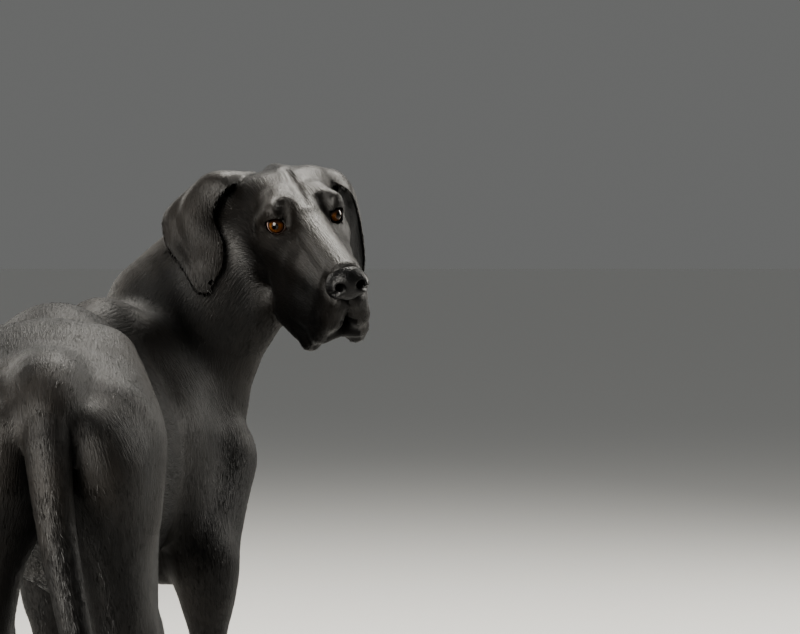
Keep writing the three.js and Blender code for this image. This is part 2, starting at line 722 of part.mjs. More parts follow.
function earSolid({ front, rear, bow }, side) {
  const frontCurve = curveThrough(front);
  const rearCurve = curveThrough(rear);
  const bowCurve = curveThrough(bow);
  const place = (u, v) => {
    const p = frontCurve.getPoint(v).lerp(rearCurve.getPoint(v), u);
    return p.addScaledVector(bowCurve.getPoint(v), 4 * u * (1 - u) - earValley(u, v));
  };
  const { columns, rows, thickness } = ear;
  const points = [];
  const faces = [];
  for (const face of [1, -1]) {
    for (let j = 0; j <= rows; j += 1) {
      for (let i = 0; i <= columns; i += 1) {
        const u = i / columns;
        const v = j / rows;
        const p = place(u, v);
        const du = place(min(u + 0.02, 1), v).sub(place(max(u - 0.02, 0), v));
        const dv = place(u, min(v + 0.02, 1)).sub(place(u, max(v - 0.02, 0)));
        const normal = du.cross(dv).normalize().multiplyScalar(-side);
        const rim = min(4 * u, 4 * (1 - u), 5 * (1 - v), 1);
        p.addScaledVector(normal, face * thickness * (0.38 + 0.12 * rim));
        points.push(p.x, p.y, p.z);
      }
    }
  }
  const wide = columns + 1;
  const sheet = wide * (rows + 1);
  const at = (face, i, j) => face * sheet + j * wide + i;
  const tile = (a, b, c, d) => faces.push(a, b, c, a, c, d);
  for (let j = 0; j < rows; j += 1) {
    for (let i = 0; i < columns; i += 1) {
      tile(at(0, i, j), at(0, i, j + 1), at(0, i + 1, j + 1), at(0, i + 1, j));
      tile(at(1, i, j), at(1, i + 1, j), at(1, i + 1, j + 1), at(1, i, j + 1));
    }
    tile(at(0, 0, j), at(1, 0, j), at(1, 0, j + 1), at(0, 0, j + 1));
    tile(at(0, columns, j), at(0, columns, j + 1), at(1, columns, j + 1), at(1, columns, j));
  }
  for (let i = 0; i < columns; i += 1) {
    tile(at(0, i, 0), at(0, i + 1, 0), at(1, i + 1, 0), at(1, i, 0));
    tile(at(0, i, rows), at(1, i, rows), at(1, i + 1, rows), at(0, i + 1, rows));
  }
  if (side > 0) return solidOf(points, faces);
  for (let f = 0; f < faces.length; f += 3) [faces[f], faces[f + 1]] = [faces[f + 1], faces[f]];
  return solidOf(points, faces);
}
{
  const around = fieldSolid(inHeadField, ...room.head, step.head, gap);
  for (const [name, side] of Object.entries(sides)) {
    const leather = earSolid(earEdges[name], side).subtract(around);
    add(`ear_${name}`, framed(leather, headFrame).subtract(neckAt(ear.clear)));
  }
}

// Legs.
const inGirdle = new THREE.Vector3();
const girdleField = (x, y, z) => {
  inGirdle.set(x, y, z).applyMatrix4(girdleFrame);
  return trunkField(inGirdle.x, inGirdle.y, inGirdle.z);
};
function band(solid, top, bottom) {
  let piece = solid.trimByPlane([0, 0, 1], bottom + gap / 2);
  piece = piece.trimByPlane([0, 0, -1], -(top - gap / 2));
  return piece;
}

// A paw: a pad under the long bones, four toes and their claws, standing flat on the floor.
function pawSolid(size) {
  const [long, wide, high] = size;
  const rows = [
    [-4, 0, high * 1.1, high * 0.36, long * 0.1, 0, high * 0.66, high * 0.4, 0.95, 12],
    [-long * 0.04, 0, high * 0.3, high * 0.34, long * 0.22, 0, high * 0.32, wide * 0.36, 1, 14],
  ];
  const claws = [];
  for (let toe = 0; toe < 4; toe += 1) {
    const spread = (toe - 1.5) / 1.5;
    const middle = 1 - abs(spread);
    const y = spread * wide * 0.33;
    const tip = long * (0.48 + 0.16 * middle);
    const knuckle = [tip - long * 0.16, y, high * (0.48 + 0.08 * middle), wide * 0.16];
    rows.push([long * 0.1, y * 0.6, high * 0.6, wide * 0.15, ...knuckle, 1, 8]);
    rows.push([...knuckle, tip, y * 1.03, high * 0.25, wide * 0.14, 1, 7]);
    claws.push([tip + wide * 0.12, y * 1.05, high * 0.26]);
  }
  const field = (x, y, z) => flesh(rows, x, y, z);
  let solid = fieldSolid(field, [-50, -60, -12], [long, 60, high + 60], step.paw);
  for (const [x, y, z] of claws) {
    const claw = new THREE.ConeGeometry(4.2, paw.claw, 7);
    claw.rotateZ(-Math.PI / 2).rotateY(degrees(40)).translate(x, y, z - 2);
    solid = solid.add(solidOfGeometry(claw));
  }
  return solid.trimByPlane([0, 0, 1], 0);
}

for (const [name, side] of Object.entries(sides)) {
  const fore = fieldSolid(
    girdleField,
    side > 0 ? [150, -20, 40] : [170, -220, 40],
    side > 0 ? [400, 200, 560] : [420, 20, 560],
    step.forearm,
  ).intersect(foreShare(side, 0));
  const place = foreLegs[name].paw;
  const pawFore = pawSolid(paw.fore).translate([place[0] - pawBack, place[1], 0]);
  const { wrist, forePaw, hock, hindPaw, aboveLegs } = level;
  add(`foreleg_${name}_forearm`, framed(band(fore, aboveLegs, wrist), girdleFrame));
  add(`foreleg_${name}_pastern`, framed(band(fore, wrist, forePaw), girdleFrame));
  add(`foreleg_${name}_paw`, framed(pawFore.trimByPlane([0, 0, -1], gap / 2 - forePaw), girdleFrame));

  const hindAt = (low, high, size) =>
    fieldSolid(bodyField, [-520, side > 0 ? -20 : -180, low], [-100, side > 0 ? 180 : 20, high], size)
      .intersect(hindShare(side, 0));
  const hindPlace = hindLegs[name].paw;
  const pawHind = pawSolid(paw.hind).translate([hindPlace[0] - pawBack, hindPlace[1], 0]);
  const thigh = hindAt(340, 740, step.thigh);
  add(`hindleg_${name}_thigh`, keepAbove(thigh, flip(cuts.knee[0]), cuts.knee[1]));
  const lower = keepAbove(hindAt(40, 520, step.shin), ...cuts.knee);
  add(`hindleg_${name}_shin`, band(lower, aboveLegs, hock));
  add(`hindleg_${name}_hock`, band(lower, hock, hindPaw));
  add(`hindleg_${name}_paw`, pawHind.trimByPlane([0, 0, -1], gap / 2 - hindPaw));
}

// The tail hangs from the croup in three lengths, round in section, thick at its root.
const tailPath = curveThrough([
  [-340, 0, 728],
  [-392, 0, 722],
  [-432, -2, 676],
  [-450, -10, 600],
  [-466, -24, 520],
  [-484, -44, 420],
  [-498, -56, 310],
  [-506, -60, tail.tip],
]);
const tailShape = { taper: 0.62, flareLength: 0.2, tipFrom: 0.96, tipLength: 0.045 }; // shares of its length
function tailRadius(t) {
  const { taper, flareLength, tipFrom, tipLength } = tailShape;
  const round = t > tipFrom ? sqrt(1 - ((t - tipFrom) / tipLength) ** 2) : 1;
  const flare = tail.flare * Math.exp(-((t / flareLength) ** 2));
  return (mix(tail.root, tail.end, t ** taper) + flare) * round;
}
function tailSolid(grow) {
  const { rings } = tail;
  const points = [];
  const faces = [];
  for (let j = 0; j <= rings; j += 1) {
    const t = j / rings;
    const centre = tailPath.getPoint(t);
    const along = tailPath.getTangent(t);
    const left = new THREE.Vector3(0, 1, 0).addScaledVector(along, -along.y).normalize();
    const back = along.clone().cross(left);
    for (let i = 0; i < tail.sides; i += 1) {
      const a = (2 * Math.PI * i) / tail.sides;
      const r = tailRadius(t) + grow;
      const p = centre.clone().addScaledVector(left, r * cos(a)).addScaledVector(back, r * sin(a));
      points.push(p.x, p.y, p.z);
    }
  }
  const start = points.length / 3;
  points.push(...tailPath.getPoint(0).toArray(), ...tailPath.getPoint(1).toArray());
  for (let i = 0; i < tail.sides; i += 1) {
    const n = (i + 1) % tail.sides;
    faces.push(start, n, i);
    for (let j = 0; j < rings; j += 1) {
      const a = j * tail.sides;
      const b = a + tail.sides;
      faces.push(a + i, a + n, b + n, a + i, b + n, b + i);
    }
    faces.push(start + 1, rings * tail.sides + i, rings * tail.sides + n);
  }
  return solidOf(points, faces);
}
{
  const whole = tailSolid(0);
  const body = fieldSolid(trunkField, ...room.torso, step.torso, gap);
  const rest = largest(whole.subtract(body));
  const cutsDown = [600, 420];
  add("tail_root", keepAbove(rest, [0, 0, 1], [0, 0, cutsDown[0]]));
  add("tail_middle", band(rest, cutsDown[0], cutsDown[1]));
  add("tail_tip", keepAbove(rest, [0, 0, -1], [0, 0, cutsDown[1]]));
}

// The origin is on the floor under the middle of the dog's box.
const box = new THREE.Box3().setFromObject(group);
const centre = box.getCenter(new THREE.Vector3());
group.position.set(-centre.x, -centre.y, -box.min.z);

export default group;
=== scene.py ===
import math
import bmesh
import bpy
import numpy as np
import openvdb
from mathutils import Matrix, Vector


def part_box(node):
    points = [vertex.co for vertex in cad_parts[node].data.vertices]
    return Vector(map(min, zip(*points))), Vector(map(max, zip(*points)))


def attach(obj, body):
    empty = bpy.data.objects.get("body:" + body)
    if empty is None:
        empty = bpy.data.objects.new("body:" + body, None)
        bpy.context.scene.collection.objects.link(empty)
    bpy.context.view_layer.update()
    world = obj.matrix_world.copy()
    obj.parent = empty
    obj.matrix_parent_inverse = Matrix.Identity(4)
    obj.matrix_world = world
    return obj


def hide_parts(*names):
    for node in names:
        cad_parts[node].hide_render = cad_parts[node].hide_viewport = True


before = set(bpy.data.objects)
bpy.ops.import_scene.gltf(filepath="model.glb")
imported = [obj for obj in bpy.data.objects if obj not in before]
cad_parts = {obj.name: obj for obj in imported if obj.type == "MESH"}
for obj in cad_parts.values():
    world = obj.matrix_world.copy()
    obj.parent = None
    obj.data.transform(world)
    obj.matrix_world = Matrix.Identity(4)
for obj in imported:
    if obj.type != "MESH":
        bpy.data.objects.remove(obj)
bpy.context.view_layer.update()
print("frame loaded")


# Distances: a muscle is a round bar from a to b whose radius changes evenly, pressed to flat of its
# width in y, as (ax, ay, az, ra, bx, by, bz, rb, flat, blend). An egg is (x, y, z, rx, ry, rz, blend).
def join(a, b, k):
    h = np.maximum(k - np.abs(a - b), 0)
    return np.minimum(a, b) - h * h / (4 * k)


def carve(a, b, k):
    return -join(-a, b, k)


def muscle(row, x, y, z):
    ax, ay, az, ra, bx, by, bz, rb, flat = row[:9]
    ux, uy, uz = bx - ax, (by - ay) / flat, bz - az
    px, py, pz = x - ax, (y - ay) / flat, z - az
    t = np.clip((px * ux + py * uy + pz * uz) / (ux * ux + uy * uy + uz * uz), 0, 1)
    dx, dy, dz = px - ux * t, py - uy * t, pz - uz * t
    length = np.sqrt(dx * dx + dy * dy + dz * dz) + 1e-6
    slope = np.sqrt(dx * dx + (dy / flat) ** 2 + dz * dz) / length
    return (length - (ra + (rb - ra) * t)) / slope


def egg(row, x, y, z):
    cx, cy, cz, rx, ry, rz = row[:6]
    qx, qy, qz = (x - cx) / rx, (y - cy) / ry, (z - cz) / rz
    k = np.sqrt(qx * qx + qy * qy + qz * qz) + 1e-6
    return (k - 1) * k / (np.sqrt((qx / rx) ** 2 + (qy / ry) ** 2 + (qz / rz) ** 2) + 1e-6)


def flesh(rows, x, y, z, start=None):
    d = np.full_like(x, 1e3) if start is None else start
    for row in rows:
        piece = muscle(row, x, y, z) if len(row) > 7 else egg(row, x, y, z)
        d = join(d, piece, row[-1])
    return d


def curvePoint(points, t):
    # A uniform Catmull-Rom curve through the points, with ends continued straight.
    p = np.array(points, float)
    p = np.vstack([2 * p[0] - p[1], p, 2 * p[-1] - p[-2]])
    s = np.clip(np.asarray(t, float), 0, 1) * (len(p) - 3)
    i = np.minimum(s.astype(int), len(p) - 4)
    w = (s - i)[..., None]
    a, b, c, d = p[i], p[i + 1], p[i + 2], p[i + 3]
    return 0.5 * (2 * b + (c - a) * w + (2 * a - 5 * b + 4 * c - d) * w**2 + (3 * b - a - 3 * c + d) * w**3)


# The pose: the spine runs straight from the rump, bends to the right round one arc, and runs straight on.
spine = {"bendStart": -60, "bendEnd": 300, "turn": math.radians(32)}
girdle = {"station": 250}
skull = {"occiput": (337, -284, 934), "yaw": -165.8, "pitch": 20.4, "roll": 10.5}
sides = {"left": 1, "right": -1}

spineRadius = (spine["bendEnd"] - spine["bendStart"]) / spine["turn"]


def unbend(x, y):
    dx, dy = x - spine["bendStart"], y + spineRadius
    angle = np.arctan2(dx, dy)
    c, s = math.cos(spine["turn"]), math.sin(spine["turn"])
    bentX, bentY = spine["bendStart"] + spineRadius * angle, np.hypot(dx, dy) - spineRadius
    pastX, pastY = spine["bendEnd"] + dx * c - dy * s, dx * s + dy * c - spineRadius
    before, past = angle <= 0, angle >= spine["turn"]
    return (
        np.where(before, x, np.where(past, pastX, bentX)),
        np.where(before, y, np.where(past, pastY, bentY)),
    )


girdleAngle = (girdle["station"] - spine["bendStart"]) / spineRadius
girdleFrame = (
    Matrix.Translation((
        spine["bendStart"] + spineRadius * math.sin(girdleAngle),
        -spineRadius * (1 - math.cos(girdleAngle)),
        0,
    ))
    @ Matrix.Rotation(-girdleAngle, 4, "Z")
    @ Matrix.Translation((-girdle["station"], 0, 0))
)
headFrame = (
    Matrix.Translation(skull["occiput"])
    @ Matrix.Rotation(math.radians(skull["yaw"]), 4, "Z")
    @ Matrix.Rotation(math.radians(skull["pitch"]), 4, "Y")
    @ Matrix.Rotation(math.radians(skull["roll"]), 4, "X")
)


def through(matrix, x, y, z):
    m = matrix
    return tuple(m[i][0] * x + m[i][1] * y + m[i][2] * z + m[i][3] for i in range(3))


toGirdle = girdleFrame.inverted()
toHead = headFrame.inverted()

# Ribs, loin and belly, along the bent spine.
barrel = [
    (318, 0, 588, 88, 175, 0, 590, 164, 0.6, 40),
    (120, 0, 603, 160, -40, 0, 634, 150, 0.73, 40),
    (-40, 0, 640, 142, -190, 0, 644, 94, 0.76, 60),
    (-40, 0, 702, 82, -240, 0, 706, 78, 1, 50),
    (215, 0, 764, 26, -60, 0, 760, 26, 1, 60),
    (258, 0, 760, 34, 195, 0, 766, 34, 0.7, 60),
    (-60, 0, 604, 92, -200, 0, 612, 60, 0.85, 40),
]
forechest = [
    (384, 0, 562, 40, 300, 0, 520, 80, 0.8, 50),
    (380, 36, 556, 38, 290, 48, 468, 38, 1, 30),
]
# Croup, seat and thighs; the left side, mirrored by |y|.
rump = [
    (-215, 0, 744, 46, -352, 0, 716, 40, 1, 50),
    (-245, 42, 728, 54, -345, 50, 686, 58, 1, 40),
    (-225, 64, 756, 20, -250, 58, 734, 34, 1, 40),
    (-300, 52, 652, 62, -330, 58, 600, 54, 1, 50),
    (-408, 34, 690, 24, -388, 50, 648, 44, 1, 36),
]
hindLegRows = {
    "thigh": [
        (-262, 66, 650, 82, -222, 80, 465, 50, 0.64, 40),
        (-320, 60, 650, 78, -275, 80, 450, 54, 0.6, 40),
        (-388, 56, 655, 48, -318, 78, 440, 42, 0.72, 26),
        (-206, 82, 446, 29, -214, 82, 425, 28, 0.95, 30),
    ],
    "shin": [
        (-232, 84, 425, 45, -425, 86, 245, 23, 0.8, 30),
        (-300, 84, 440, 42, -425, 86, 300, 17, 0.7, 24),
        (-400, 86, 320, 13, -476, 86, 262, 12, 1, 20),
        (-410, 86, 292, 16, -452, 86, 254, 16, 0.55, 14),  # the thin web before the tendon
    ],
    "hock": [
        (-474, 86, 256, 16, -446, 86, 224, 25, 0.85, 16),
        (-446, 86, 224, 26, -440, 86, 200, 24, 0.8, 16),
        (-452, 86, 210, 22, -434, 86, 70, 20, 0.82, 16),
    ],
}
# Shoulder and foreleg of the left side, in the girdle's frame.
foreLegRows = {
    "shoulder": [
        (240, 50, 750, 28, 368, 82, 600, 48, 0.62, 50),
        (268, 50, 728, 34, 380, 70, 615, 42, 0.7, 40),
        (366, 94, 588, 50, 262, 98, 470, 43, 0.8, 36),
        (262, 76, 612, 68, 235, 90, 480, 36, 0.6, 36),
    ],
    "forearm": [
        (250, 93, 462, 38, 250, 93, 420, 37, 0.74, 36),
        (250, 93, 440, 37, 258, 91, 300, 27, 0.76, 26),
        (212, 93, 452, 15, 240, 93, 420, 22, 1, 18),
        (258, 91, 300, 28, 262, 90, 196, 24, 0.82, 20),
        (264, 90, 196, 26, 264, 90, 184, 25, 0.95, 14),
    ],
    "pastern": [(263, 90, 180, 23, 286, 90, 66, 22, 0.95, 14)],
}
stance = {
    "foreleg": {"left": (-22, 0), "right": (26, 22)},
    "hindleg": {"left": (26, 2), "right": (0, 0)},
}
pawSizes = {"foreleg": (108, 84, 62), "hindleg": (98, 74, 54)}
pawPlaces = {"foreleg": (280, 90), "hindleg": (-438, 86)}
leanFrom = {"foreleg": (600, 170), "hindleg": (480, 260)}  # the height it starts at, and over how much
legFrames = {"foreleg": girdleFrame, "hindleg": Matrix.Identity(4)}


def pawSpot(leg, name):
    # Where a paw stands, in its leg's frame.
    (x, y), (forward, outward) = pawPlaces[leg], stance[leg][name]
    return x + forward, sides[name] * (y + outward)


def stand(rows, side, top, reach, forward, outward):
    # A leg row stands on its side and leans as it goes down, to where its paw is placed.
    placed = []
    for ax, ay, az, ra, bx, by, bz, rb, flat, blend in rows:
        leanA = min(max((top - az) / reach, 0), 1)
        leanB = min(max((top - bz) / reach, 0), 1)
        placed.append((
            ax + forward * leanA, side * (ay + outward * leanA), az, ra,
            bx + forward * leanB, side * (by + outward * leanB), bz, rb, flat, blend,
        ))
    return placed


def toePlace(size, toe):
    # A toe's place across the paw, from -1 to 1, and how far ahead its tip is.
    spread = (toe - 1.5) / 1.5
    return spread, size[0] * (0.48 + 0.16 * (1 - abs(spread)))


def pawRows(size, x, y):
    # A pad under the long bones and four toes.
    long, wide, high = size
    rows = [
        (-4, 0, high * 1.1, high * 0.36, long * 0.1, 0, high * 0.66, high * 0.4, 0.95, 12),
        (-long * 0.04, 0, high * 0.3, high * 0.34, long * 0.22, 0, high * 0.32, wide * 0.36, 1, 14),
    ]
    for toe in range(4):
        spread, tip = toePlace(size, toe)
        middle = 1 - abs(spread)
        across = spread * wide * 0.33
        knuckle = (tip - long * 0.16, across, high * (0.48 + 0.08 * middle), wide * 0.16)
        rows.append((long * 0.1, across * 0.6, high * 0.6, wide * 0.15, *knuckle, 1, 8))
        rows.append((*knuckle, tip, across * 1.03, high * 0.25, wide * 0.14, 1, 5))
    return [(a + x, b + y, c, d, e + x, f + y, *rest) for a, b, c, d, e, f, *rest in rows]


foreLegs, hindLegs, forePaws, hindPaws = {}, {}, {}, {}
for name, side in sides.items():
    mirrored = [(a, side * b, c, d, e, side * f, *rest) for a, b, c, d, e, f, *rest in hindLegRows["thigh"]]
    foreRows = foreLegRows["shoulder"] + foreLegRows["forearm"] + foreLegRows["pastern"]
    hindRows = hindLegRows["shin"] + hindLegRows["hock"]
    foreLegs[name] = stand(foreRows, side, *leanFrom["foreleg"], *stance["foreleg"][name])
    hindLegs[name] = mirrored + stand(hindRows, side, *leanFrom["hindleg"], *stance["hindleg"][name])
    forePaws[name] = pawRows(pawSizes["foreleg"], *pawSpot("foreleg", name))
    hindPaws[name] = pawRows(pawSizes["hindleg"], *pawSpot("hindleg", name))

# The neck: stations from the withers and breastbone up to the nape and the angle of the jaw.
# Each is crest point, throat point and half width.
neckStations = [
    ((252, -74, 768), (362, -150, 628), 82),
    ((302, -94, 832), (362, -212, 640), 74),
    ((328, -132, 862), (338, -221, 700), 66),
    ((338, -182, 904), (308, -229, 753), 62),
    ((335, -242, 940), (292, -252, 806), 56),
]
neckEdge = {"crest": 22, "throat": 26}
neckWidth = {"crest": 0.86, "throat": 0.8}  # of each station's half width, beside the crest and the throat
neckBlend = {"edge": 40, "wide": 50}


def towards(a, b, distance):
    a, b = np.array(a, float), np.array(b, float)
    return tuple(a + (b - a) * distance / np.linalg.norm(b - a))


def neckBar(fromA, toA, inA, ra, fromB, toB, inB, rb, blend):
    return (*towards(fromA, toA, inA), ra, *towards(fromB, toB, inB), rb, 1, blend)


neckRows = []
for (crestA, throatA, wideA), (crestB, throatB, wideB) in zip(neckStations, neckStations[1:]):
    edge, wide = neckEdge["crest"], neckWidth["crest"]
    neckRows.append(neckBar(crestA, throatA, edge, edge, crestB, throatB, edge, edge, neckBlend["edge"]))
    neckRows.append(neckBar(
        crestA, throatA, wideA, wideA * wide, crestB, throatB, wideB, wideB * wide, neckBlend["wide"]
    ))
    edge, wide = neckEdge["throat"], neckWidth["throat"]
    neckRows.append(neckBar(
        throatA, crestA, wideA, wideA * wide, throatB, crestB, wideB, wideB * wide, neckBlend["wide"]
    ))
    neckRows.append(neckBar(throatA, crestA, edge, edge, throatB, crestB, edge, edge, neckBlend["edge"]))
neckRows.append((285, -272, 792, 26, 342, -228, 734, 20, 1, 40))  # the throat's loose skin

# The head in its own frame, x to the nose and z to the crown, left side mirrored by |y|.
headRows = [
    (62, 0, 6, 76, 66, 57, 20),
    (116, 0, 12, 50, 52, 45, 26),
    (6, 0, 40, 18, 64, 0, 46, 20, 1, 20),
    (60, 22, 43, 19, 128, 25, 34, 17, 1, 12),
    (44, 42, 22, 40, 28, 36, 26),
    (104, 28, 43, 15, 130, 41, 42, 10, 1, 18),
    (130, 41, 42, 10, 114, 53, 24, 9, 1, 14),
    (60, 58, -14, 12, 126, 48, -6, 12, 1, 24),
    (66, 44, -40, 27, 112, 42, -38, 20, 1, 22),
    (150, 0, 27, 18, 300, 0, 18, 15, 1.4, 20),
    (146, 23, -12, 23, 280, 15, -10, 19, 1, 26),
    (128, 34, -8, 18, 178, 25, -14, 19, 1, 22),
    (-6, 50, 16, 18, 6, 70, 6, 16, 1, 16),
]
browHollow = (140, 27, 54, 6, 156, 29, 32, 3, 1, 12)  # over the eye's inner corner
furrow = (54, 0, 71, 4, 146, 0, 55, 3, 1, 7)  # down the middle of the forehead
flewRows = [
    (150, 32, -56, 22, 262, 18, -46, 18, 1, 30),
    (165, 35, -78, 17, 252, 26, -70, 14, 1, 26),
    (272, 17, -40, 26, 15, 27, 16),
    (297, 9, -25, 15, 289, 17, -50, 11, 1, 16),
    (289, 17, -50, 11, 263, 26, -81, 9, 1, 14),
    (263, 26, -81, 9, 231, 31, -103, 10, 1, 14),
    (231, 31, -103, 10, 158, 40, -92, 15, 1, 16),
]
jawRows = [
    (90, 32, -90, 19, 200, 22, -92, 15, 1, 18),
    (200, 22, -92, 15, 256, 8, -79, 10, 1, 14),
    (110, 0, -88, 24, 236, 0, -84, 13, 1, 20),
    (258, 0, -77, 15, 12, 11, 10),
]
nose = {"front": 327, "width": 57, "height": 49}
eye = {"radius": 14.5, "pupil": (146, 43, 27), "gaze": (0.86, 0.45, 0.14)}
lids = {
    "thickness": 3,
    "blend": 5,
    "gap": 0.4,  # between the ball and the lids
    "width": 27,  # of the opening, which is an almond
    "height": 17,
    "tilt": -12,
    "lowered": 0.1,
    "fullness": 1.7,
    "corners": 1.4,
    "slope": 0.36,
    "edge": 1.6,
    "socketEdge": 0.6,
}

# Ears: a thin leather between its front edge and its rear edge, bowed between them; in the head's frame.
ears = {
    "right": {
        "front": (
            (30, -50, 48), (44, -74, 53), (43, -94, 34), (53, -102, 15),
            (82, -100, -8), (99, -106, -32), (106, -122, -53),
        ),
        "rear": (
            (-12, -52, 18), (-16, -92, 28), (-10, -130, 22), (4, -156, 10),
            (29, -162, -16), (74, -155, -34), (103, -146, -60),
        ),
        "bow": ((-4, 18, 14), (-2, -4, 20), (0, -8, 15), (6, -8, 9), (6, -6, 4), (4, -4, 2), (2, 0, -9)),
        "tragus": ((46, -58, 50), (44, -63, 38), (47, -68, 25), (48, -74, 12), (52, -84, 1), (62, -96, -3)),
    },
    "left": {
        "front": (
            (34, 50, 42), (71, 62, 43), (99, 75, 36), (106, 81, 10),
            (115, 82, -17), (129, 79, -47), (131, 73, -82),
        ),
        "rear": (
            (-12, 52, 18), (-14, 66, 24), (-8, 80, 18), (0, 88, 0),
            (14, 87, -30), (46, 82, -66), (100, 74, -90),
        ),
        "bow": ((-4, -18, 10), (4, 8, 10), (4, 8, 6), (0, 8, 2), (0, 6, 0), (0, 4, 0), (0, 0, -4)),
        "tragus": ((46, 56, 46), (44, 61, 35), (47, 65, 22), (52, 68, 8)),
    },
}
tail = {
    "path": (
        (-340, 0, 728), (-392, 0, 722), (-432, -2, 676), (-450, -10, 600),
        (-466, -24, 520), (-484, -44, 420), (-498, -56, 310), (-506, -60, 215),
    ),
    "root": 34,
    "end": 7,
    "taper": 0.62,
    "flare": 10,
    "flareLength": 0.2,
    "lengths": 24,
    "rooted": 6,  # how many of its lengths melt into the rump; the rest meet end to end, a little fuller
    "melt": 18,
    "fuller": 4,
}


def tailRadius(t):
    flare = tail["flare"] * np.exp(-((t / tail["flareLength"]) ** 2))
    return tail["root"] + (tail["end"] - tail["root"]) * t ** tail["taper"] + flare


tailRows = []
tailPoints = curvePoint(tail["path"], np.linspace(0, 0.99, tail["lengths"] + 1))
for i in range(tail["lengths"]):
    ra, rb = tailRadius(i / tail["lengths"]), tailRadius((i + 1) / tail["lengths"])
    fuller, blend = (0, tail["melt"]) if i < tail["rooted"] else (tail["fuller"], 1)
    tailRows.append((*tailPoints[i], ra + fuller, *tailPoints[i + 1], rb + fuller, 1, blend))


# Fields: the distance from the skin, which lies inside the solids by the depth of the coat.
coatDepth = 1.6
soleLevel = 0.6
jawHinge = {"x": 110, "blend": 20, "lipBlend": 3}  # behind x the jaw melts into the cheek
neckFrom = {"x": 15, "blend": 30}  # the neck and head reach no further back than x


def headField(x, y, z):
    side = np.abs(y)
    d = flesh(headRows, x, side, z)
    for hollow in (browHollow, furrow):
        d = carve(d, muscle(hollow, x, side, z), hollow[-1])
    return flesh(flewRows, x, side, z, d)


def jawField(x, y, z):
    return flesh(jawRows, x, np.abs(y), z)


def eyePlace(side):
    gaze = Vector((eye["gaze"][0], side * eye["gaze"][1], eye["gaze"][2])).normalized()
    pupil = Vector((eye["pupil"][0], side * eye["pupil"][1], eye["pupil"][2]))
    return gaze, pupil - gaze * eye["radius"]


def eyeAxes(side):
    # The opening's long axis points to the nose's side, its short axis up.
    gaze = eyePlace(side)[0]
    across = Vector((0, 0, 1)).cross(gaze).normalized()
    up = gaze.cross(across)
    tilt = math.radians(side * -lids["tilt"])
    return across * math.cos(tilt) + up * math.sin(tilt), up * math.cos(tilt) - across * math.sin(tilt)


def lidField(d, x, y, z):
    # Each eye's lids: skin over the ball, open in an almond.
    for side in sides.values():
        gaze, centre = eyePlace(side)
        across, up = eyeAxes(side)
        px, py, pz = x - centre.x, y - centre.y, z - centre.z
        ball = np.sqrt(px * px + py * py + pz * pz)
        d = join(d, ball - eye["radius"] - lids["thickness"], lids["blend"])
        u = (px * across.x + py * across.y + pz * across.z) / (lids["width"] / 2)
        v = (px * up.x + py * up.y + pz * up.z) / (lids["height"] / 2)
        ahead = px * gaze.x + py * gaze.y + pz * gaze.z
        arch = 1 - np.minimum(np.abs(u), lids["corners"]) ** lids["fullness"]
        almond = np.abs(v + lids["lowered"]) - arch
        opening = np.maximum(almond * lids["height"] * lids["slope"], -ahead)
        d = carve(d, opening, lids["edge"])
        d = carve(d, ball - eye["radius"] + lids["gap"], lids["socketEdge"])
    return d


valley = {"depth": 0.4, "place": 0.68, "width": 0.14}  # the fold down the ear, measured across it
earWalk = {"seeds": (7, 14), "near": 22, "slack": 12, "rounds": 5, "strides": (0.12, 0.1)}
earLeather = {"half": 2.9, "rim": 0.7, "root": 1.6, "margin": 40}
tragus = {"top": 4, "foot": 3.8, "blend": 5}
earRoot = {"reach": 60, "fade": 30, "blend": 9}


def earPoint(name, u, v):
    guide = ears[name]
    front, rear = curvePoint(guide["front"], v), curvePoint(guide["rear"], v)
    fold = valley["depth"] * np.exp(-(((u - valley["place"]) / valley["width"]) ** 2))
    bow = 4 * u * (1 - u) - fold * np.clip(4 * v - 0.8, 0, 1)
    return front + (rear - front) * u[:, None] + curvePoint(guide["bow"], v) * bow[:, None]


def earFoot(name, p):
    # Where on the ear's sheet each point's foot is, found by walking over the sheet.
    across, down = earWalk["seeds"]
    su, sv = np.meshgrid(np.linspace(0, 1, across), np.linspace(0, 1, down), indexing="ij")
    su, sv = su.ravel(), sv.ravel()
    seeds = earPoint(name, su, sv)
    gaps = ((p[:, None, :] - seeds[None]) ** 2).sum(-1)
    first = np.argmin(gaps, axis=1)
    rough = np.sqrt(gaps[np.arange(len(p)), first])
    u, v = su[first], sv[first]
    near = rough < earWalk["near"]
    q, un, vn = p[near], u[near], v[near]
    strideU, strideV = earWalk["strides"]
    h = 0.004
    for _ in range(earWalk["rounds"]):
        here = earPoint(name, un, vn)
        du = (earPoint(name, un + h, vn) - earPoint(name, un - h, vn)) / (2 * h)
        up, down = np.minimum(vn + h, 1), np.maximum(vn - h, 0)
        dv = (earPoint(name, un, up) - earPoint(name, un, down)) / (up - down)[:, None]
        r = q - here
        a, b, c = (du * du).sum(1), (du * dv).sum(1), (dv * dv).sum(1)
        e, f = (du * r).sum(1), (dv * r).sum(1)
        det = a * c - b * b + 1e-3
        un = np.clip(un + np.clip((c * e - b * f) / det, -strideU, strideU), 0, 1)
        vn = np.clip(vn + np.clip((a * f - b * e) / det, -strideV, strideV), 0, 1)
    u[near], v[near] = un, vn
    gap = rough - earWalk["slack"]
    gap[near] = np.minimum(np.linalg.norm(q - earPoint(name, un, vn), axis=1), rough[near])
    return u, v, gap, near


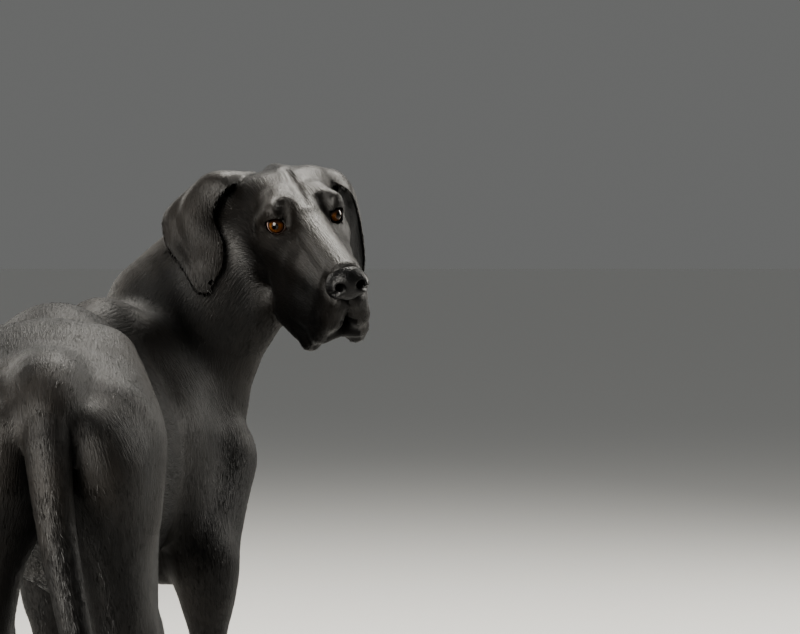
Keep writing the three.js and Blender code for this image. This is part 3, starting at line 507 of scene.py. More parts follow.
def earField(name, x, y, z):
    # The distance from one ear's leather, whose half thickness has the coat's depth in it.
    d = np.full_like(x, 1e3)
    rows = np.array(ears[name]["front"] + ears[name]["rear"], float)
    low, high = rows.min(0) - earLeather["margin"], rows.max(0) + earLeather["margin"]
    close = (x > low[0]) & (x < high[0]) & (y > low[1]) & (y < high[1]) & (z > low[2]) & (z < high[2])
    if not close.any():
        return d
    u, v, gap, near = earFoot(name, np.stack([x[close], y[close], z[close]], -1).astype(float))
    rim = np.clip(np.minimum(np.minimum(6 * u, 6 * (1 - u)), 6 * (1 - v)), 0, 1)
    atRoot = np.clip(1 - 3.5 * v, 0, 1)
    half = earLeather["half"] + earLeather["rim"] * rim + earLeather["root"] * atRoot * rim
    d[close] = gap - half * near
    return d


def tragusField(d, name, x, y, z):
    # The low front rim of the ear's cup, from the root down to the hanging edge.
    rim = ears[name]["tragus"]
    for a, b in zip(rim, rim[1:]):
        d = join(d, muscle((*a, tragus["top"], *b, tragus["foot"], 1), x, y, z), tragus["blend"])
    return d


def rooted(d, ear, name, x, y, z):
    # The ear grows softly out of the head at its root, and only lies against it elsewhere.
    ax, ay, az = np.mean([ears[name]["front"][0], ears[name]["rear"][0]], axis=0)
    away = np.sqrt((x - ax) ** 2 + (y - ay) ** 2 + (z - az) ** 2)
    return join(d, ear, 1 + earRoot["blend"] * np.clip((earRoot["reach"] - away) / earRoot["fade"], 0, 1))


def faceField(x, y, z):
    # The head in its own frame: skull, upper and lower jaw and lids.
    jaw = jawField(x, y, z)
    d = join(headField(x, y, z), np.maximum(jaw, jawHinge["x"] - x), jawHinge["blend"])
    d = join(d, jaw, jawHinge["lipBlend"])
    return lidField(d, x, y, z)


def earsField(d, x, y, z):
    hx, hy, hz = through(toHead, x, y, z)
    for name in sides:
        d = rooted(d, earField(name, hx, hy, hz), name, hx, hy, hz)
        d = tragusField(d, name, hx, hy, hz)
    return d


def chestField(x, y, z):
    bx, by = unbend(x, y)
    return flesh(forechest, bx, np.abs(by), z, flesh(barrel, bx, by, z))


def foreLegField(name, x, y, z, start=None):
    gx, gy, gz = through(toGirdle, x, y, z)
    return flesh(foreLegs[name] + forePaws[name], gx, gy, gz, start)


def hindLegField(name, x, y, z, start=None):
    return flesh(hindLegs[name] + hindPaws[name], x, y, z, start)


def neckField(d, x, y, z, face):
    front = x > neckFrom["x"]
    if front.any():
        fx, fy, fz = x[front], y[front], z[front]
        f = flesh(neckRows, fx, fy, fz, d[front])
        d[front] = join(f, face(*through(toHead, fx, fy, fz)), neckFrom["blend"])
    return d


def asSkin(d, z):
    # The skin lies inside the solids by the depth of the coat, and the soles are flat.
    return np.maximum(d + coatDepth, soleLevel - z)


def bodyField(x, y, z):
    d = flesh(rump, x, np.abs(y), z, chestField(x, y, z))
    for name in sides:
        d = foreLegField(name, x, y, z, hindLegField(name, x, y, z, d))
    d = flesh(tailRows, x, y, z, d)
    return asSkin(neckField(d, x, y, z, headField), z)


def frontField(x, y, z):
    # The neck and head, with the shoulders they grow from.
    d = chestField(x, y, z)
    gx, gy, gz = through(toGirdle, x, y, z)
    for name in sides:
        d = flesh(foreLegs[name][:len(foreLegRows["shoulder"])], gx, gy, gz, d)
    return asSkin(earsField(neckField(d, x, y, z, faceField), x, y, z), z)


# Meshing: the field on a grid, fine only near the skin, turned to faces whose corners lie on the skin.
grid = {
    "block": 6,  # cells to a block; only blocks near the skin are fine
    "near": 1.2,
    "band": 3,  # cells beside the skin whose distances are kept
    "adaptivity": 0.02,
    "rounds": 2,  # in which the corners settle on the skin
    "farthest": 0.7,  # of a cell, that a corner moves
}


def slopeOf(field, p, d, h=0.3):
    q = p.astype(np.float32)
    slopes = []
    for n in range(3):
        moved = q.copy()
        moved[:, n] += h
        slopes.append((field(*moved.T) - d) / h)
    return np.stack(slopes, -1)


def settle(field, p, size):
    start = p.copy()
    for _ in range(grid["rounds"]):
        d = field(*p.astype(np.float32).T)
        g = slopeOf(field, p, d)
        p = p - g * (d / ((g * g).sum(1) + 1e-3))[:, None]
        away = p - start
        far = np.linalg.norm(away, axis=1) + 1e-9
        p = start + away * np.minimum(1, grid["farthest"] * size / far)[:, None]
    return p


def meshOf(field, low, high, size):
    block = grid["block"]
    low = np.array(low, float)
    blocks = np.ceil((np.array(high) - low) / (size * block)).astype(int)
    middle = [low[n] + (np.arange(blocks[n]) + 0.5) * block * size for n in range(3)]
    spots = [g.ravel().astype(np.float32) for g in np.meshgrid(*middle, indexing="ij")]
    rough = field(*spots).reshape(blocks)
    values = np.repeat(np.repeat(np.repeat(rough, block, 0), block, 1), block, 2).astype(np.float32)
    near = np.argwhere(np.abs(rough) < size * block * grid["near"])
    step = np.stack(np.meshgrid(*[np.arange(block)] * 3, indexing="ij"), -1).reshape(-1, 3)
    cells = (near[:, None, :] * block + step[None]).reshape(-1, 3)
    places = (low + cells * size).astype(np.float32)
    values[cells[:, 0], cells[:, 1], cells[:, 2]] = field(places[:, 0], places[:, 1], places[:, 2])
    volume, band = openvdb.FloatGrid(), size * grid["band"]
    volume.background = float(band)
    volume.copyFromArray(np.clip(values, -band, band), tolerance=0.0)
    points, triangles, quads = volume.convertToPolygons(isovalue=0.0, adaptivity=grid["adaptivity"])
    points = settle(field, low + points.astype(float) * size, size)
    return points, triangles.tolist() + quads.tolist()


# Each region has its own fineness; they meet a few millimetres apart and are bridged.
regions = {
    "body": {"field": bodyField, "low": (-540, -330, -6), "high": (470, 170, 1000), "size": 4.4},
    "front": {"field": frontField, "low": (-40, -440, 640), "high": (430, -20, 1010), "size": 1.8},
}
pawRegion = {"back": 80, "front": 110, "side": 75, "low": -6, "high": 100, "size": 2.2}


def pawField(leg, name):
    legField = {"foreleg": foreLegField, "hindleg": hindLegField}[leg]
    return lambda x, y, z: asSkin(legField(name, x, y, z), z)


for name in sides:
    for leg in legFrames:
        at = legFrames[leg] @ Vector((*pawSpot(leg, name), 0))
        regions[f"{leg}_{name}"] = {
            "field": pawField(leg, name),
            "low": (at.x - pawRegion["back"], at.y - pawRegion["side"], pawRegion["low"]),
            "high": (at.x + pawRegion["front"], at.y + pawRegion["side"], pawRegion["high"]),
            "size": pawRegion["size"],
        }
# Each region begins beyond its seam: a point of the plane, and the way to the region.
pawTop = 84
seams = {"front": ((312, -150, 750), (0.34, -0.52, 0.78))}
seams.update({f"{leg}_{name}": ((0, 0, pawTop), (0, 0, -1)) for leg in legFrames for name in sides})
seamGap = 2.5


def clip(mesh, point, normal, keepFront):
    # Cuts a bmesh by a plane and keeps one side of it.
    whole = mesh.verts[:] + mesh.edges[:] + mesh.faces[:]
    bmesh.ops.bisect_plane(
        mesh, geom=whole, dist=1e-3, plane_co=point, plane_no=normal,
        clear_inner=keepFront, clear_outer=not keepFront,
    )


def largestShell(mesh):
    # Drops every loose scrap.
    mesh.verts.index_update()
    seen, best = set(), []
    for start in mesh.verts:
        if start in seen:
            continue
        shell, edge = {start}, [start]
        while edge:
            for link in edge.pop().link_edges:
                for v in link.verts:
                    if v not in shell:
                        shell.add(v)
                        edge.append(v)
        seen |= shell
        if len(shell) > len(best):
            best = shell
    bmesh.ops.delete(mesh, geom=[v for v in mesh.verts if v not in best], context="VERTS")


def asBmesh(points, faces):
    data = bpy.data.meshes.new("part")
    data.from_pydata(points.tolist(), [], faces)
    mesh = bmesh.new()
    mesh.from_mesh(data)
    bpy.data.meshes.remove(data)
    return mesh


def buildSkin():
    whole = bmesh.new()
    for name, region in regions.items():
        part = asBmesh(*meshOf(region["field"], region["low"], region["high"], region["size"]))
        for seam, (point, normal) in seams.items():
            if name == "body":
                side = Vector(normal) * -seamGap / 2
                clip(part, Vector(point) + side, Vector(normal), keepFront=False)
            elif name == seam:
                clip(part, Vector(point) + Vector(normal) * seamGap / 2, Vector(normal), keepFront=True)
        largestShell(part)
        data = bpy.data.meshes.new("part")
        part.to_mesh(data)
        whole.from_mesh(data)
        bpy.data.meshes.remove(data)
        part.free()
    edges = [e for e in whole.edges if e.is_boundary]
    for seam, (point, normal) in seams.items():
        point, normal = Vector(point), Vector(normal).normalized()
        low, high = regions[seam]["low"], regions[seam]["high"]
        rim = [e for e in edges if e.is_valid]
        rim = [e for e in rim if all(abs((v.co - point).dot(normal)) < seamGap for v in e.verts)]
        if seam != "front":
            rim = [e for e in rim if all(low[n] < e.verts[0].co[n] < high[n] for n in range(2))]
        bmesh.ops.bridge_loops(whole, edges=rim)
    return whole


print("fields ready")


# From the dog's own frame in millimetres to the model's frame in metres: the right eye is in both.
eyeLow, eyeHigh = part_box("eye_right")
eyeCentre = headFrame @ eyePlace(sides["right"])[1]
shift = (eyeLow + eyeHigh) / 2 - eyeCentre / 1000
shift.z = 0


def toModel(points):
    return np.asarray(points, float) / 1000 + np.array(shift)


def makePiece(name, points, faces, materials, replaced=(), pickMaterial=None):
    data = bpy.data.meshes.new(name)
    data.from_pydata(toModel(points).tolist(), [], faces)
    data.update()
    for material in materials:
        data.materials.append(material)
    data.shade_smooth()
    if pickMaterial is not None:
        data.polygons.foreach_set("material_index", pickMaterial)
    piece = bpy.data.objects.new(name, data)
    bpy.context.scene.collection.objects.link(piece)
    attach(piece, "root")
    if replaced:
        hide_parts(*replaced)
    return piece


# Shaders. A Wire is one socket, on which arithmetic adds Math nodes.
class Wire:
    def __init__(self, shader, socket):
        self.shader, self.socket = shader, socket

    def math(self, operation, *values, clamp=False):
        settings = {"operation": operation, "use_clamp": clamp}
        return self.shader.add("ShaderNodeMath", settings, dict(enumerate(values)))

    def __add__(self, other):
        return self.math("ADD", self, other)

    __radd__ = __add__

    def __mul__(self, other):
        return self.math("MULTIPLY", self, other)

    __rmul__ = __mul__

    def __sub__(self, other):
        return self.math("SUBTRACT", self, other)

    def __rsub__(self, other):
        return self.math("SUBTRACT", other, self)

    def clamped(self):
        return self.math("ADD", self, 0, clamp=True)


class Shader:
    def __init__(self, name, **constants):
        self.material = bpy.data.materials.new(name)
        self.material.use_nodes = True
        self.tree = self.material.node_tree
        self.surface = self.tree.nodes["Principled BSDF"]
        for socket, value in constants.items():
            self.surface.inputs[socket.replace("_", " ")].default_value = value

    def add(self, kind, settings=None, sockets=None, output=0):
        node = self.tree.nodes.new(kind)
        for key, value in (settings or {}).items():
            if key == "stops":
                self.setStops(node, value)
            else:
                setattr(node, key, value)
        for key, value in (sockets or {}).items():
            if isinstance(value, Wire):
                self.tree.links.new(value.socket, node.inputs[key])
            else:
                node.inputs[key].default_value = value
        return Wire(self, node.outputs[output])

    def setStops(self, node, stops):
        elements = node.color_ramp.elements
        while len(elements) < len(stops):
            elements.new(1)
        for element, (place, colour) in zip(elements, stops):
            element.position = place
            element.color = (*colour, 1)

    def attribute(self, name, output="Fac"):
        return self.add("ShaderNodeAttribute", {"attribute_name": name}, output=output)

    def place(self):
        return self.add("ShaderNodeTexCoord", output="Object")

    def noise(self, scale, detail=2, vector=None, stretch=None):
        vector = vector or self.place()
        if stretch:
            vector = self.vector("MULTIPLY", vector, stretch)
        sockets = {"Vector": vector, "Scale": scale, "Detail": detail}
        return self.add("ShaderNodeTexNoise", None, sockets)

    def mixColour(self, factor, a, b):
        return self.add("ShaderNodeMix", {"data_type": "RGBA"}, {0: factor, 6: a, 7: b}, output=2)

    def vector(self, operation, a, b, output=0):
        return self.add("ShaderNodeVectorMath", {"operation": operation}, {0: a, 1: b}, output=output)

    def scaled(self, a, factor):
        return self.add("ShaderNodeVectorMath", {"operation": "SCALE"}, {0: a, 3: factor})

    def bump(self, height, strength, distance):
        sockets = {"Height": height, "Strength": strength, "Distance": distance}
        return self.add("ShaderNodeBump", None, sockets)

    def feed(self, **wires):
        for name, wire in wires.items():
            self.tree.links.new(wire.socket, self.surface.inputs[name.replace("_", " ")])
        return self.material


coat = {
    "dark": (0.0045, 0.0045, 0.0048, 1),
    "worn": (0.0240, 0.0190, 0.0145, 1),
    # the black of hairless skin, also painted on the mouth's lower jaw and chin as shade
    "bare": (0.0025, 0.0024, 0.0024, 1),
    "sheen": (0.66, 0.70, 0.72, 1),
    "cells": {"hairs": 60, "locks": 36},  # cells of streaks to the metre
    "streaks": {"hairs": 1500, "locks": 420},  # the noise's scale across the streaks
    "drawn": 0.9,  # how far a streak is drawn out along the lie
    "scatter": 7.3,  # so that no two cells are alike
    "wear": {"tufts": 0.1, "locks": 0.5, "less": 0.15},
    "patches": {"scale": 6, "detail": 3, "from": 0.42, "contrast": 3, "share": 0.7},
    "rough": {"body": 0.48, "sleeker": 0.15, "locks": 0.14, "bare": 0.55, "tufts": 0.42},
    "bump": {"hairs": 0.6, "bare": 0.8, "strength": 0.6, "distance": 0.0013},
    "sleekFade": 60,
}


def streaks(shader, kind):
    # Streaks along the lie of the hair: noise in small cells, each squashed along its own lie.
    place, lie = shader.place(), shader.attribute("lie", "Vector")
    sockets = {"Vector": place, "Scale": coat["cells"][kind]}
    cell = shader.add("ShaderNodeTexVoronoi", None, sockets, output="Position")
    local = shader.vector("SUBTRACT", place, cell)
    reach = shader.vector("DOT_PRODUCT", local, lie, output="Value")
    drawn = shader.vector("SUBTRACT", local, shader.scaled(lie, reach * coat["drawn"]))
    seed = shader.scaled(cell, coat["scatter"])
    return shader.noise(coat["streaks"][kind], vector=shader.vector("ADD", drawn, seed))


def coatShader(name):
    # Black hair, faintly blue where it is glossy, and how brown and worn it is from place to place.
    sockets = {"Roughness": coat["rough"]["tufts"], "Sheen_Weight": 0.04, "Sheen_Roughness": 0.35}
    shader = Shader(name, Specular_IOR_Level=0.5, Sheen_Tint=coat["sheen"], **sockets)
    patches = coat["patches"]
    noise = shader.noise(patches["scale"], patches["detail"])
    return shader, ((noise - patches["from"]) * patches["contrast"]).clamped() * patches["share"]


def coatTuftMaterial():
    shader, worn = coatShader("coat tufts")
    worn = worn + coat["wear"]["tufts"]
    return shader.feed(Base_Color=shader.mixColour(worn, coat["dark"], coat["worn"]))


def coatSkinMaterial():
    # The same coat in fine streaks, glossier on the head, and dull and black where the skin is hairless;
    # the mouth's lower jaw and chin are made black the same way as painted shade.
    shader, worn = coatShader("coat skin")
    rough, relief, wear = coat["rough"], coat["bump"], coat["wear"]
    fine, locks = streaks(shader, "hairs"), streaks(shader, "locks")
    worn = (worn + locks * wear["locks"] - wear["less"]).clamped()
    colour = shader.mixColour(worn, coat["dark"], coat["worn"])
    bare, sleek = shader.attribute("bare"), shader.attribute("sleek")
    # Black where the skin is hairless, and as painted shade over the mouth's lower jaw and chin.
    colour = shader.mixColour(bare, colour, coat["bare"])
    hairy = rough["body"] - sleek * rough["sleeker"] + locks * rough["locks"]
    roughness = hairy * (1 - bare) + bare * rough["bare"]
    height = (fine * relief["hairs"] + locks) * (1 - bare * relief["bare"])
    normal = shader.bump(height, relief["strength"], relief["distance"])
    return shader.feed(Base_Color=colour, Roughness=roughness, Normal=normal)


leather = {
    "pebbles": 620,
    "strength": 0.7,
    "distance": 0.0007,
    "dark": (0.006, 0.006, 0.0068, 1),
    "light": (0.015, 0.0145, 0.0145, 1),
}


def leatherMaterial():
    shader = Shader("nose leather", Roughness=0.3, Specular_IOR_Level=0.4)
    sockets = {"Vector": shader.place(), "Scale": leather["pebbles"], "Smoothness": 0.6}
    pebbles = shader.add("ShaderNodeTexVoronoi", {"feature": "SMOOTH_F1"}, sockets, output="Distance")
    normal = shader.bump(1 - pebbles, leather["strength"], leather["distance"])
    colour = shader.mixColour(shader.noise(90), leather["dark"], leather["light"])
    return shader.feed(Base_Color=colour, Normal=normal)


lips = {
    "creases": 420,
    "strength": 0.3,
    "distance": 0.0005,
    "dark": (0.0012, 0.0012, 0.0012, 1),
    "light": (0.006, 0.005, 0.005, 1),
    "bareFrom": 0.45,  # faces barer than this get the black lip material, which on the mouth's jaw and chin is painted shade
    "edge": (
        (314, 1, -41), (304, 8, -50), (296, 14, -64), (276, 22, -86),
        (256, 27, -100), (231, 33, -112), (200, 40, -108), (158, 46, -104),
    ),
    "edgeWidth": 4.5,
    "lidEdge": (2.2, 1.2),
}
# The mouth's box: its inner faces are hairless lip, and its lower jaw and chin are made black as painted
# shade.
mouth = {"x": (160, 300), "z": (-112, -46), "side": 34, "inward": 0.1}


def lipAndMouthShadeMaterial():
    # The black hairless skin of the lips and the rims of the lids; on the mouth's lower jaw and chin it is
    # painted shade.
    shader = Shader("lip skin and mouth shade", Roughness=0.5, Specular_IOR_Level=0.12)
    creases = shader.noise(lips["creases"], 3)
    colour = shader.mixColour(creases, lips["dark"], lips["light"])
    normal = shader.bump(creases, lips["strength"], lips["distance"])
    return shader.feed(Base_Color=colour, Normal=normal)


# The skin, one surface from the nose to the tail and the toes.
fleshNodes = [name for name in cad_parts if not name.startswith(("eye_", "nose"))]
skinMesh = buildSkin()
skinData = bpy.data.meshes.new("skin")
skinMesh.normal_update()
skinMesh.to_mesh(skinData)
skinMesh.free()
skinPoints = np.zeros(len(skinData.vertices) * 3)
skinData.vertices.foreach_get("co", skinPoints)
skinPoints = skinPoints.reshape(-1, 3)
skinFaces = [tuple(face.vertices) for face in skinData.polygons]


def dogField(x, y, z):
    # The whole skin's field: the front region's beyond its seam, the body's elsewhere.
    (px, py, pz), (nx, ny, nz) = seams["front"]
    ahead = (x - px) * nx + (y - py) * ny + (z - pz) * nz > 0
    d = np.empty_like(x)
    d[ahead] = frontField(x[ahead], y[ahead], z[ahead])
    d[~ahead] = bodyField(x[~ahead], y[~ahead], z[~ahead])
    return d


def normalsOf(points):
    p = np.asarray(points, np.float32)
    g = slopeOf(dogField, p, dogField(*p.T), h=0.8)
    return g / (np.linalg.norm(g, axis=1, keepdims=True) + 1e-9)


# The lie of the hair: along the muscles, back from the nose and down the limbs.
lieFrom = {"softness": 9, "deepest": -20, "farthest": 400, "earNear": 8, "earFade": 6}


def rowLies(rows, local, turned, sign, mirrored):
    # Each row's nearness to the points, and its direction in the dog's frame.
    x, y, z = local
    side = np.abs(y) if mirrored else y
    for row in rows:
        if len(row) > 7:
            near, way = muscle(row, x, side, z), np.array(row[4:7], float) - np.array(row[:3], float)
        else:
            near, way = egg(row, x, side, z), np.array((1.0, 0.0, 0.0))
        way = np.tile(way / (np.linalg.norm(way) + 1e-9) * sign, (len(x), 1))
        if mirrored:
            way[:, 1] *= np.sign(y)
        yield near, turned(way)


def turnedBy(matrix):
    turn = np.array(matrix.to_3x3())
    return lambda way: way @ turn.T


def liesOf(points, normals):
    x, y, z = points.T
    bx, by = unbend(x, y)
    angle = np.clip(np.arctan2(x - spine["bendStart"], y + spineRadius), 0, spine["turn"])
    c, s = np.cos(angle), np.sin(angle)

    def bent(way):
        return np.stack([c * way[:, 0] + s * way[:, 1], -s * way[:, 0] + c * way[:, 1], way[:, 2]], -1)

    head, girdleSpot = through(toHead, x, y, z), through(toGirdle, x, y, z)
    flat = turnedBy(Matrix.Identity(4))
    groups = [(barrel, (bx, by, z), bent, 1, False), (forechest, (bx, by, z), bent, -1, True)]
    groups += [(rump, (x, y, z), flat, 1, True), (tailRows, (x, y, z), flat, 1, False)]
    groups += [(neckRows, (x, y, z), flat, -1, False)]
    groups += [(rows, head, turnedBy(headFrame), -1, True) for rows in (headRows, flewRows, jawRows)]
    for name in sides:
        groups.append((foreLegs[name] + forePaws[name], girdleSpot, turnedBy(girdleFrame), 1, False))
        groups.append((hindLegs[name] + hindPaws[name], (x, y, z), flat, 1, False))
    total = np.zeros_like(points)
    for group in groups:
        for near, way in rowLies(*group):
            w = np.exp(-np.clip(near, lieFrom["deepest"], lieFrom["farthest"]) / lieFrom["softness"])
            total += way * w[:, None]
    total /= np.linalg.norm(total, axis=1, keepdims=True) + 1e-9
    for name in sides:
        ear = np.clip((lieFrom["earNear"] - earField(name, *head)) / lieFrom["earFade"], 0, 1)[:, None]
        total = total * (1 - ear) + np.array((0, 0, -1.0)) * ear
    total -= normals * (total * normals).sum(1, keepdims=True)
    return total / (np.linalg.norm(total, axis=1, keepdims=True) + 1e-9)


def barenessAndShade(points, normals):
    # How hairless the skin is, with painted shade: the rims of the lids, the edge of the lips and the
    # mouth's inner faces are hairless, and the mouth's lower jaw and chin are made black as painted shade.
    x, y, z = through(toHead, *points.T)
    side = np.abs(y)
    inward = -np.sign(y) * through(toHead.to_3x3().to_4x4(), *normals.T)[1]
    gap = np.full(len(x), 1e3)
    for a, b in zip(lips["edge"], lips["edge"][1:]):
        gap = np.minimum(gap, muscle((*a, 0, *b, 0, 1), x, side, z))
    bare = np.exp(-((gap / lips["edgeWidth"]) ** 2))
    (back, front), (low, high) = mouth["x"], mouth["z"]
    within = (x > back) & (x < front) & (z < high) & (z > low) & (side < mouth["side"])
    inside = (inward > mouth["inward"]) | (jawField(x, y, z) < headField(x, y, z))
    # Painted shade: the mouth's lower jaw and chin count as hairless here, so they turn black.
    bare = np.maximum(bare, within & inside)
    wide, fade = lips["lidEdge"]
    for side in sides.values():
        centre = eyePlace(side)[1]
        reach = np.sqrt((x - centre.x) ** 2 + (y - centre.y) ** 2 + (z - centre.z) ** 2)
        bare = np.maximum(bare, np.clip((eye["radius"] + wide - reach) / fade, 0, 1))
    return bare


def addAttribute(piece, name, kind, field, values):
    piece.data.attributes.new(name, kind, "POINT").data.foreach_set(field, values)


skinNormals = normalsOf(skinPoints)
bareAndShadedSkin = barenessAndShade(skinPoints, skinNormals)
# Faces that get the black lip material: hairless lips and lid rims, and the mouth's jaw and chin as painted
# shade.
lipAndMouthShadeFaces = np.array([min(bareAndShadedSkin[i] for i in face) > lips["bareFrom"] for face in skinFaces], np.int32)
skinMaterials = [coatSkinMaterial(), lipAndMouthShadeMaterial()]
skin = makePiece("skin", skinPoints, skinFaces, skinMaterials, fleshNodes, pickMaterial=lipAndMouthShadeFaces)
skinLies = liesOf(skinPoints, skinNormals)
# The head's coat is the shortest and glossiest, and the gloss fades down the neck.
sleekSkin = np.clip(1 - headField(*through(toHead, *skinPoints.T)) / coat["sleekFade"], 0, 1)
addAttribute(skin, "lie", "FLOAT_VECTOR", "vector", skinLies.ravel())
addAttribute(skin, "bare", "FLOAT", "value", bareAndShadedSkin)
addAttribute(skin, "sleek", "FLOAT", "value", sleekSkin)
skin.data.normals_split_custom_set_from_vertices(skinNormals.tolist())
print("skin", len(skinPoints), "corners")


# Tufts: short flat blades of hair that lie along the skin. Each part has a centre line, in the dog's
# frame, with its reach round that line, and its tufts to the square centimetre, their length and width.
def spinePoint(station, z):
    a = min(max((station - spine["bendStart"]) / spineRadius, 0), spine["turn"])
    past = station - spine["bendStart"] - spineRadius * a
    x = spine["bendStart"] + spineRadius * math.sin(a) + past * math.cos(a)
    return x, -spineRadius * (1 - math.cos(a)) - past * math.sin(a), z


def legLine(rows, paws, turn):
    places = [row[:3] for row in rows] + [rows[-1][4:7], paws[0][4:7]]
    return [tuple(turn @ Vector(place)) for place in places]


def inDog(x, y, z):
    return tuple(headFrame @ Vector((x, y, z)))


headLine = [inDog(20, 0, 0), inDog(130, 0, -10), inDog(320, 0, -30)]
neckLine = [np.mean(station[:2], axis=0) for station in neckStations]
chestLine = [spinePoint(station, 610) for station in (-60, 120, 300)]
rumpLine = [(-70, 0, 650), (-400, 0, 690)]
parts = {
    "head": {"line": headLine, "reach": 62, "density": 7, "length": 5, "width": 0.34},
    "neck": {"line": neckLine, "reach": 80, "density": 3, "length": 9, "width": 0.42},
    "chest": {"line": chestLine, "reach": 135, "density": 1.9, "length": 10, "width": 0.45},
    "rump": {"line": rumpLine, "reach": 112, "density": 2.4, "length": 10, "width": 0.45},
    "tail": {"line": tail["path"], "reach": 26, "density": 4, "length": 10, "width": 0.45},
}
for name in sides:
    edges = zip(ears[name]["front"], ears[name]["rear"])
    earLine = [inDog(*np.mean(pair, axis=0).tolist()) for pair in edges][1:]
    foreRows = foreLegs[name][len(foreLegRows["shoulder"]):]
    hindRows = hindLegs[name][len(hindLegRows["thigh"]):]
    foreLine = legLine(foreRows, forePaws[name], legFrames["foreleg"])
    hindLine = [(-280, sides[name] * 70, 600), *legLine(hindRows, hindPaws[name], legFrames["hindleg"])]
    parts[f"ear_{name}"] = {"line": earLine, "reach": 38, "density": 6, "length": 4.5, "width": 0.34}
    parts[f"foreleg_{name}"] = {"line": foreLine, "reach": 42, "density": 3, "length": 7, "width": 0.42}
    parts[f"hindleg_{name}"] = {"line": hindLine, "reach": 48, "density": 2.6, "length": 8, "width": 0.44}
tuft = {
    "seed": 7,
    "lean": 0.22,  # how far its shading leans aside, at random
    "sway": 0.22,  # how far it turns from the lie, at random
    "longs": (0.7, 0.6),  # of its part's length: the least, and what chance adds
    "wides": (0.4, 0.2),
    "rootWide": 0.8,  # of its waist's width
    "thick": 0.1,
    "sunk": 0.7,  # how far its root is under the skin
    "rise": (0.2, 0.55),  # how far its waist and tip are over the skin
    "rises": (0.6, 0.8),
    "share": (0.45, 1),  # where its waist and tip are along it
    "farthest": 6,  # how far the skin may bend away under it
    "faces": (
        (0, 1, 2), (0, 4, 1), (0, 3, 4), (1, 5, 2), (1, 4, 5), (2, 3, 0), (2, 5, 3),
        (3, 6, 4), (4, 6, 5), (5, 6, 3),
    ),
    "patch": ((-1, -1), (0, -0.6), (1, -1), (-0.8, 0.2), (0, 0.4), (0.8, 0.2), (0, 1)),
    "patchSize": 0.0015,
    "chart": (0.01, 0.98),  # the patches' share of the map: where it begins, and its width
    "soles": 6,  # none grows lower than this
    "bareFade": 3,
}
growing = {"more": 5, "longer": 0.7, "wider": 0.8, "higher": 1.5}  # what full growth adds
growthFrom = {"under": 0.2, "underHeight": 360, "behind": 0.4, "behindHeight": 640, "ear": 4, "rim": 12}


def nearLine(line, points):
    # The distance to a part's centre line, how far along it that is, and the turn round it.
    best, along, turn = np.full(len(points), 1e9), np.zeros(len(points)), np.zeros(len(points))
    line = np.array(line, float)
    spans = np.linalg.norm(np.diff(line, axis=0), axis=1)
    for i, (a, b) in enumerate(zip(line, line[1:])):
        way = (b - a) / spans[i]
        reach = (points - a) @ way
        t = np.clip(reach, 0, spans[i])
        out = points - a - way * t[:, None]
        gap = np.linalg.norm(out, axis=1)
        across = np.array((0, 1.0, 0)) - way * way[1]
        across /= np.linalg.norm(across)
        angle = np.arctan2(out @ np.cross(way, across), out @ across) / (2 * math.pi) + 0.5
        nearer = gap < best
        best[nearer], turn[nearer] = gap[nearer], angle[nearer]
        along[nearer] = (spans[:i].sum() + reach[nearer]) / spans.sum()
    return best, along, turn


def partOf(points):
    gaps = [nearLine(part["line"], points)[0] / part["reach"] for part in parts.values()]
    return np.argmin(gaps, axis=0)


def edgeGrowth(points, normals):
    # More and longer hair where it breaks the form: under the chest and belly, down the backs of the
    # thighs and forelegs, under the throat and tail, and on the rims of the ears.
    ahead, up, height = normals[:, 0], normals[:, 2], points[:, 2]
    under = np.clip(-up - growthFrom["under"], 0, 1) * (height > growthFrom["underHeight"])
    behind = np.clip(-ahead - growthFrom["behind"], 0, 1) * (height < growthFrom["behindHeight"])
    growth = np.maximum(under, behind)
    head = through(toHead, *points.T)
    for name in sides:
        close = np.flatnonzero(np.abs(earField(name, *head)) < growthFrom["ear"])
        if len(close):
            u, v = earFoot(name, np.stack([h[close] for h in head], -1))[:2]
            rim = np.minimum(np.minimum(u, 1 - u), 1 - v)
            growth[close] = np.clip(1 - rim * growthFrom["rim"], 0, 1)
    return growth


def plantTufts():
    skin.data.calc_loop_triangles()
    corners = np.zeros(len(skin.data.loop_triangles) * 3, int)
    skin.data.loop_triangles.foreach_get("vertices", corners)
    corners = corners.reshape(-1, 3)
    a, b, c = (skinPoints[corners[:, n]] for n in range(3))
    middles = (a + b + c) / 3
    areas = np.linalg.norm(np.cross(b - a, c - a), axis=1) / 200  # in square centimetres
    normals = skinNormals[corners].mean(1)
    owner = partOf(middles)
    density = np.array([part["density"] for part in parts.values()])[owner]
    growth = edgeGrowth(middles, normals)
    # No tufts where the skin is hairless, nor on the mouth's jaw and chin where its shade is painted.
    hairy = 1 - np.clip(barenessAndShade(middles, normals) * tuft["bareFade"], 0, 1)
    chance = areas * density * (1 + growth * growing["more"]) * hairy * (middles[:, 2] > tuft["soles"])
    rng = np.random.default_rng(tuft["seed"])
    counts = rng.poisson(chance)
    face = np.repeat(np.arange(len(corners)), counts)
    w = np.sqrt(rng.random(len(face)))
    mix = np.stack([1 - w, w * rng.random(len(face))], -1)
    mix = np.column_stack([mix[:, 0], mix[:, 1], 1 - mix.sum(1)])[:, :, None]
    roots = (skinPoints[corners[face]] * mix).sum(1)
    ups = (skinNormals[corners[face]] * mix).sum(1)
    lies = (skinLies[corners[face]] * mix).sum(1)
    for part, name in enumerate(parts):
        picked = owner[face] == part
        growTufts(name, roots[picked], ups[picked], lies[picked], growth[face][picked], rng)


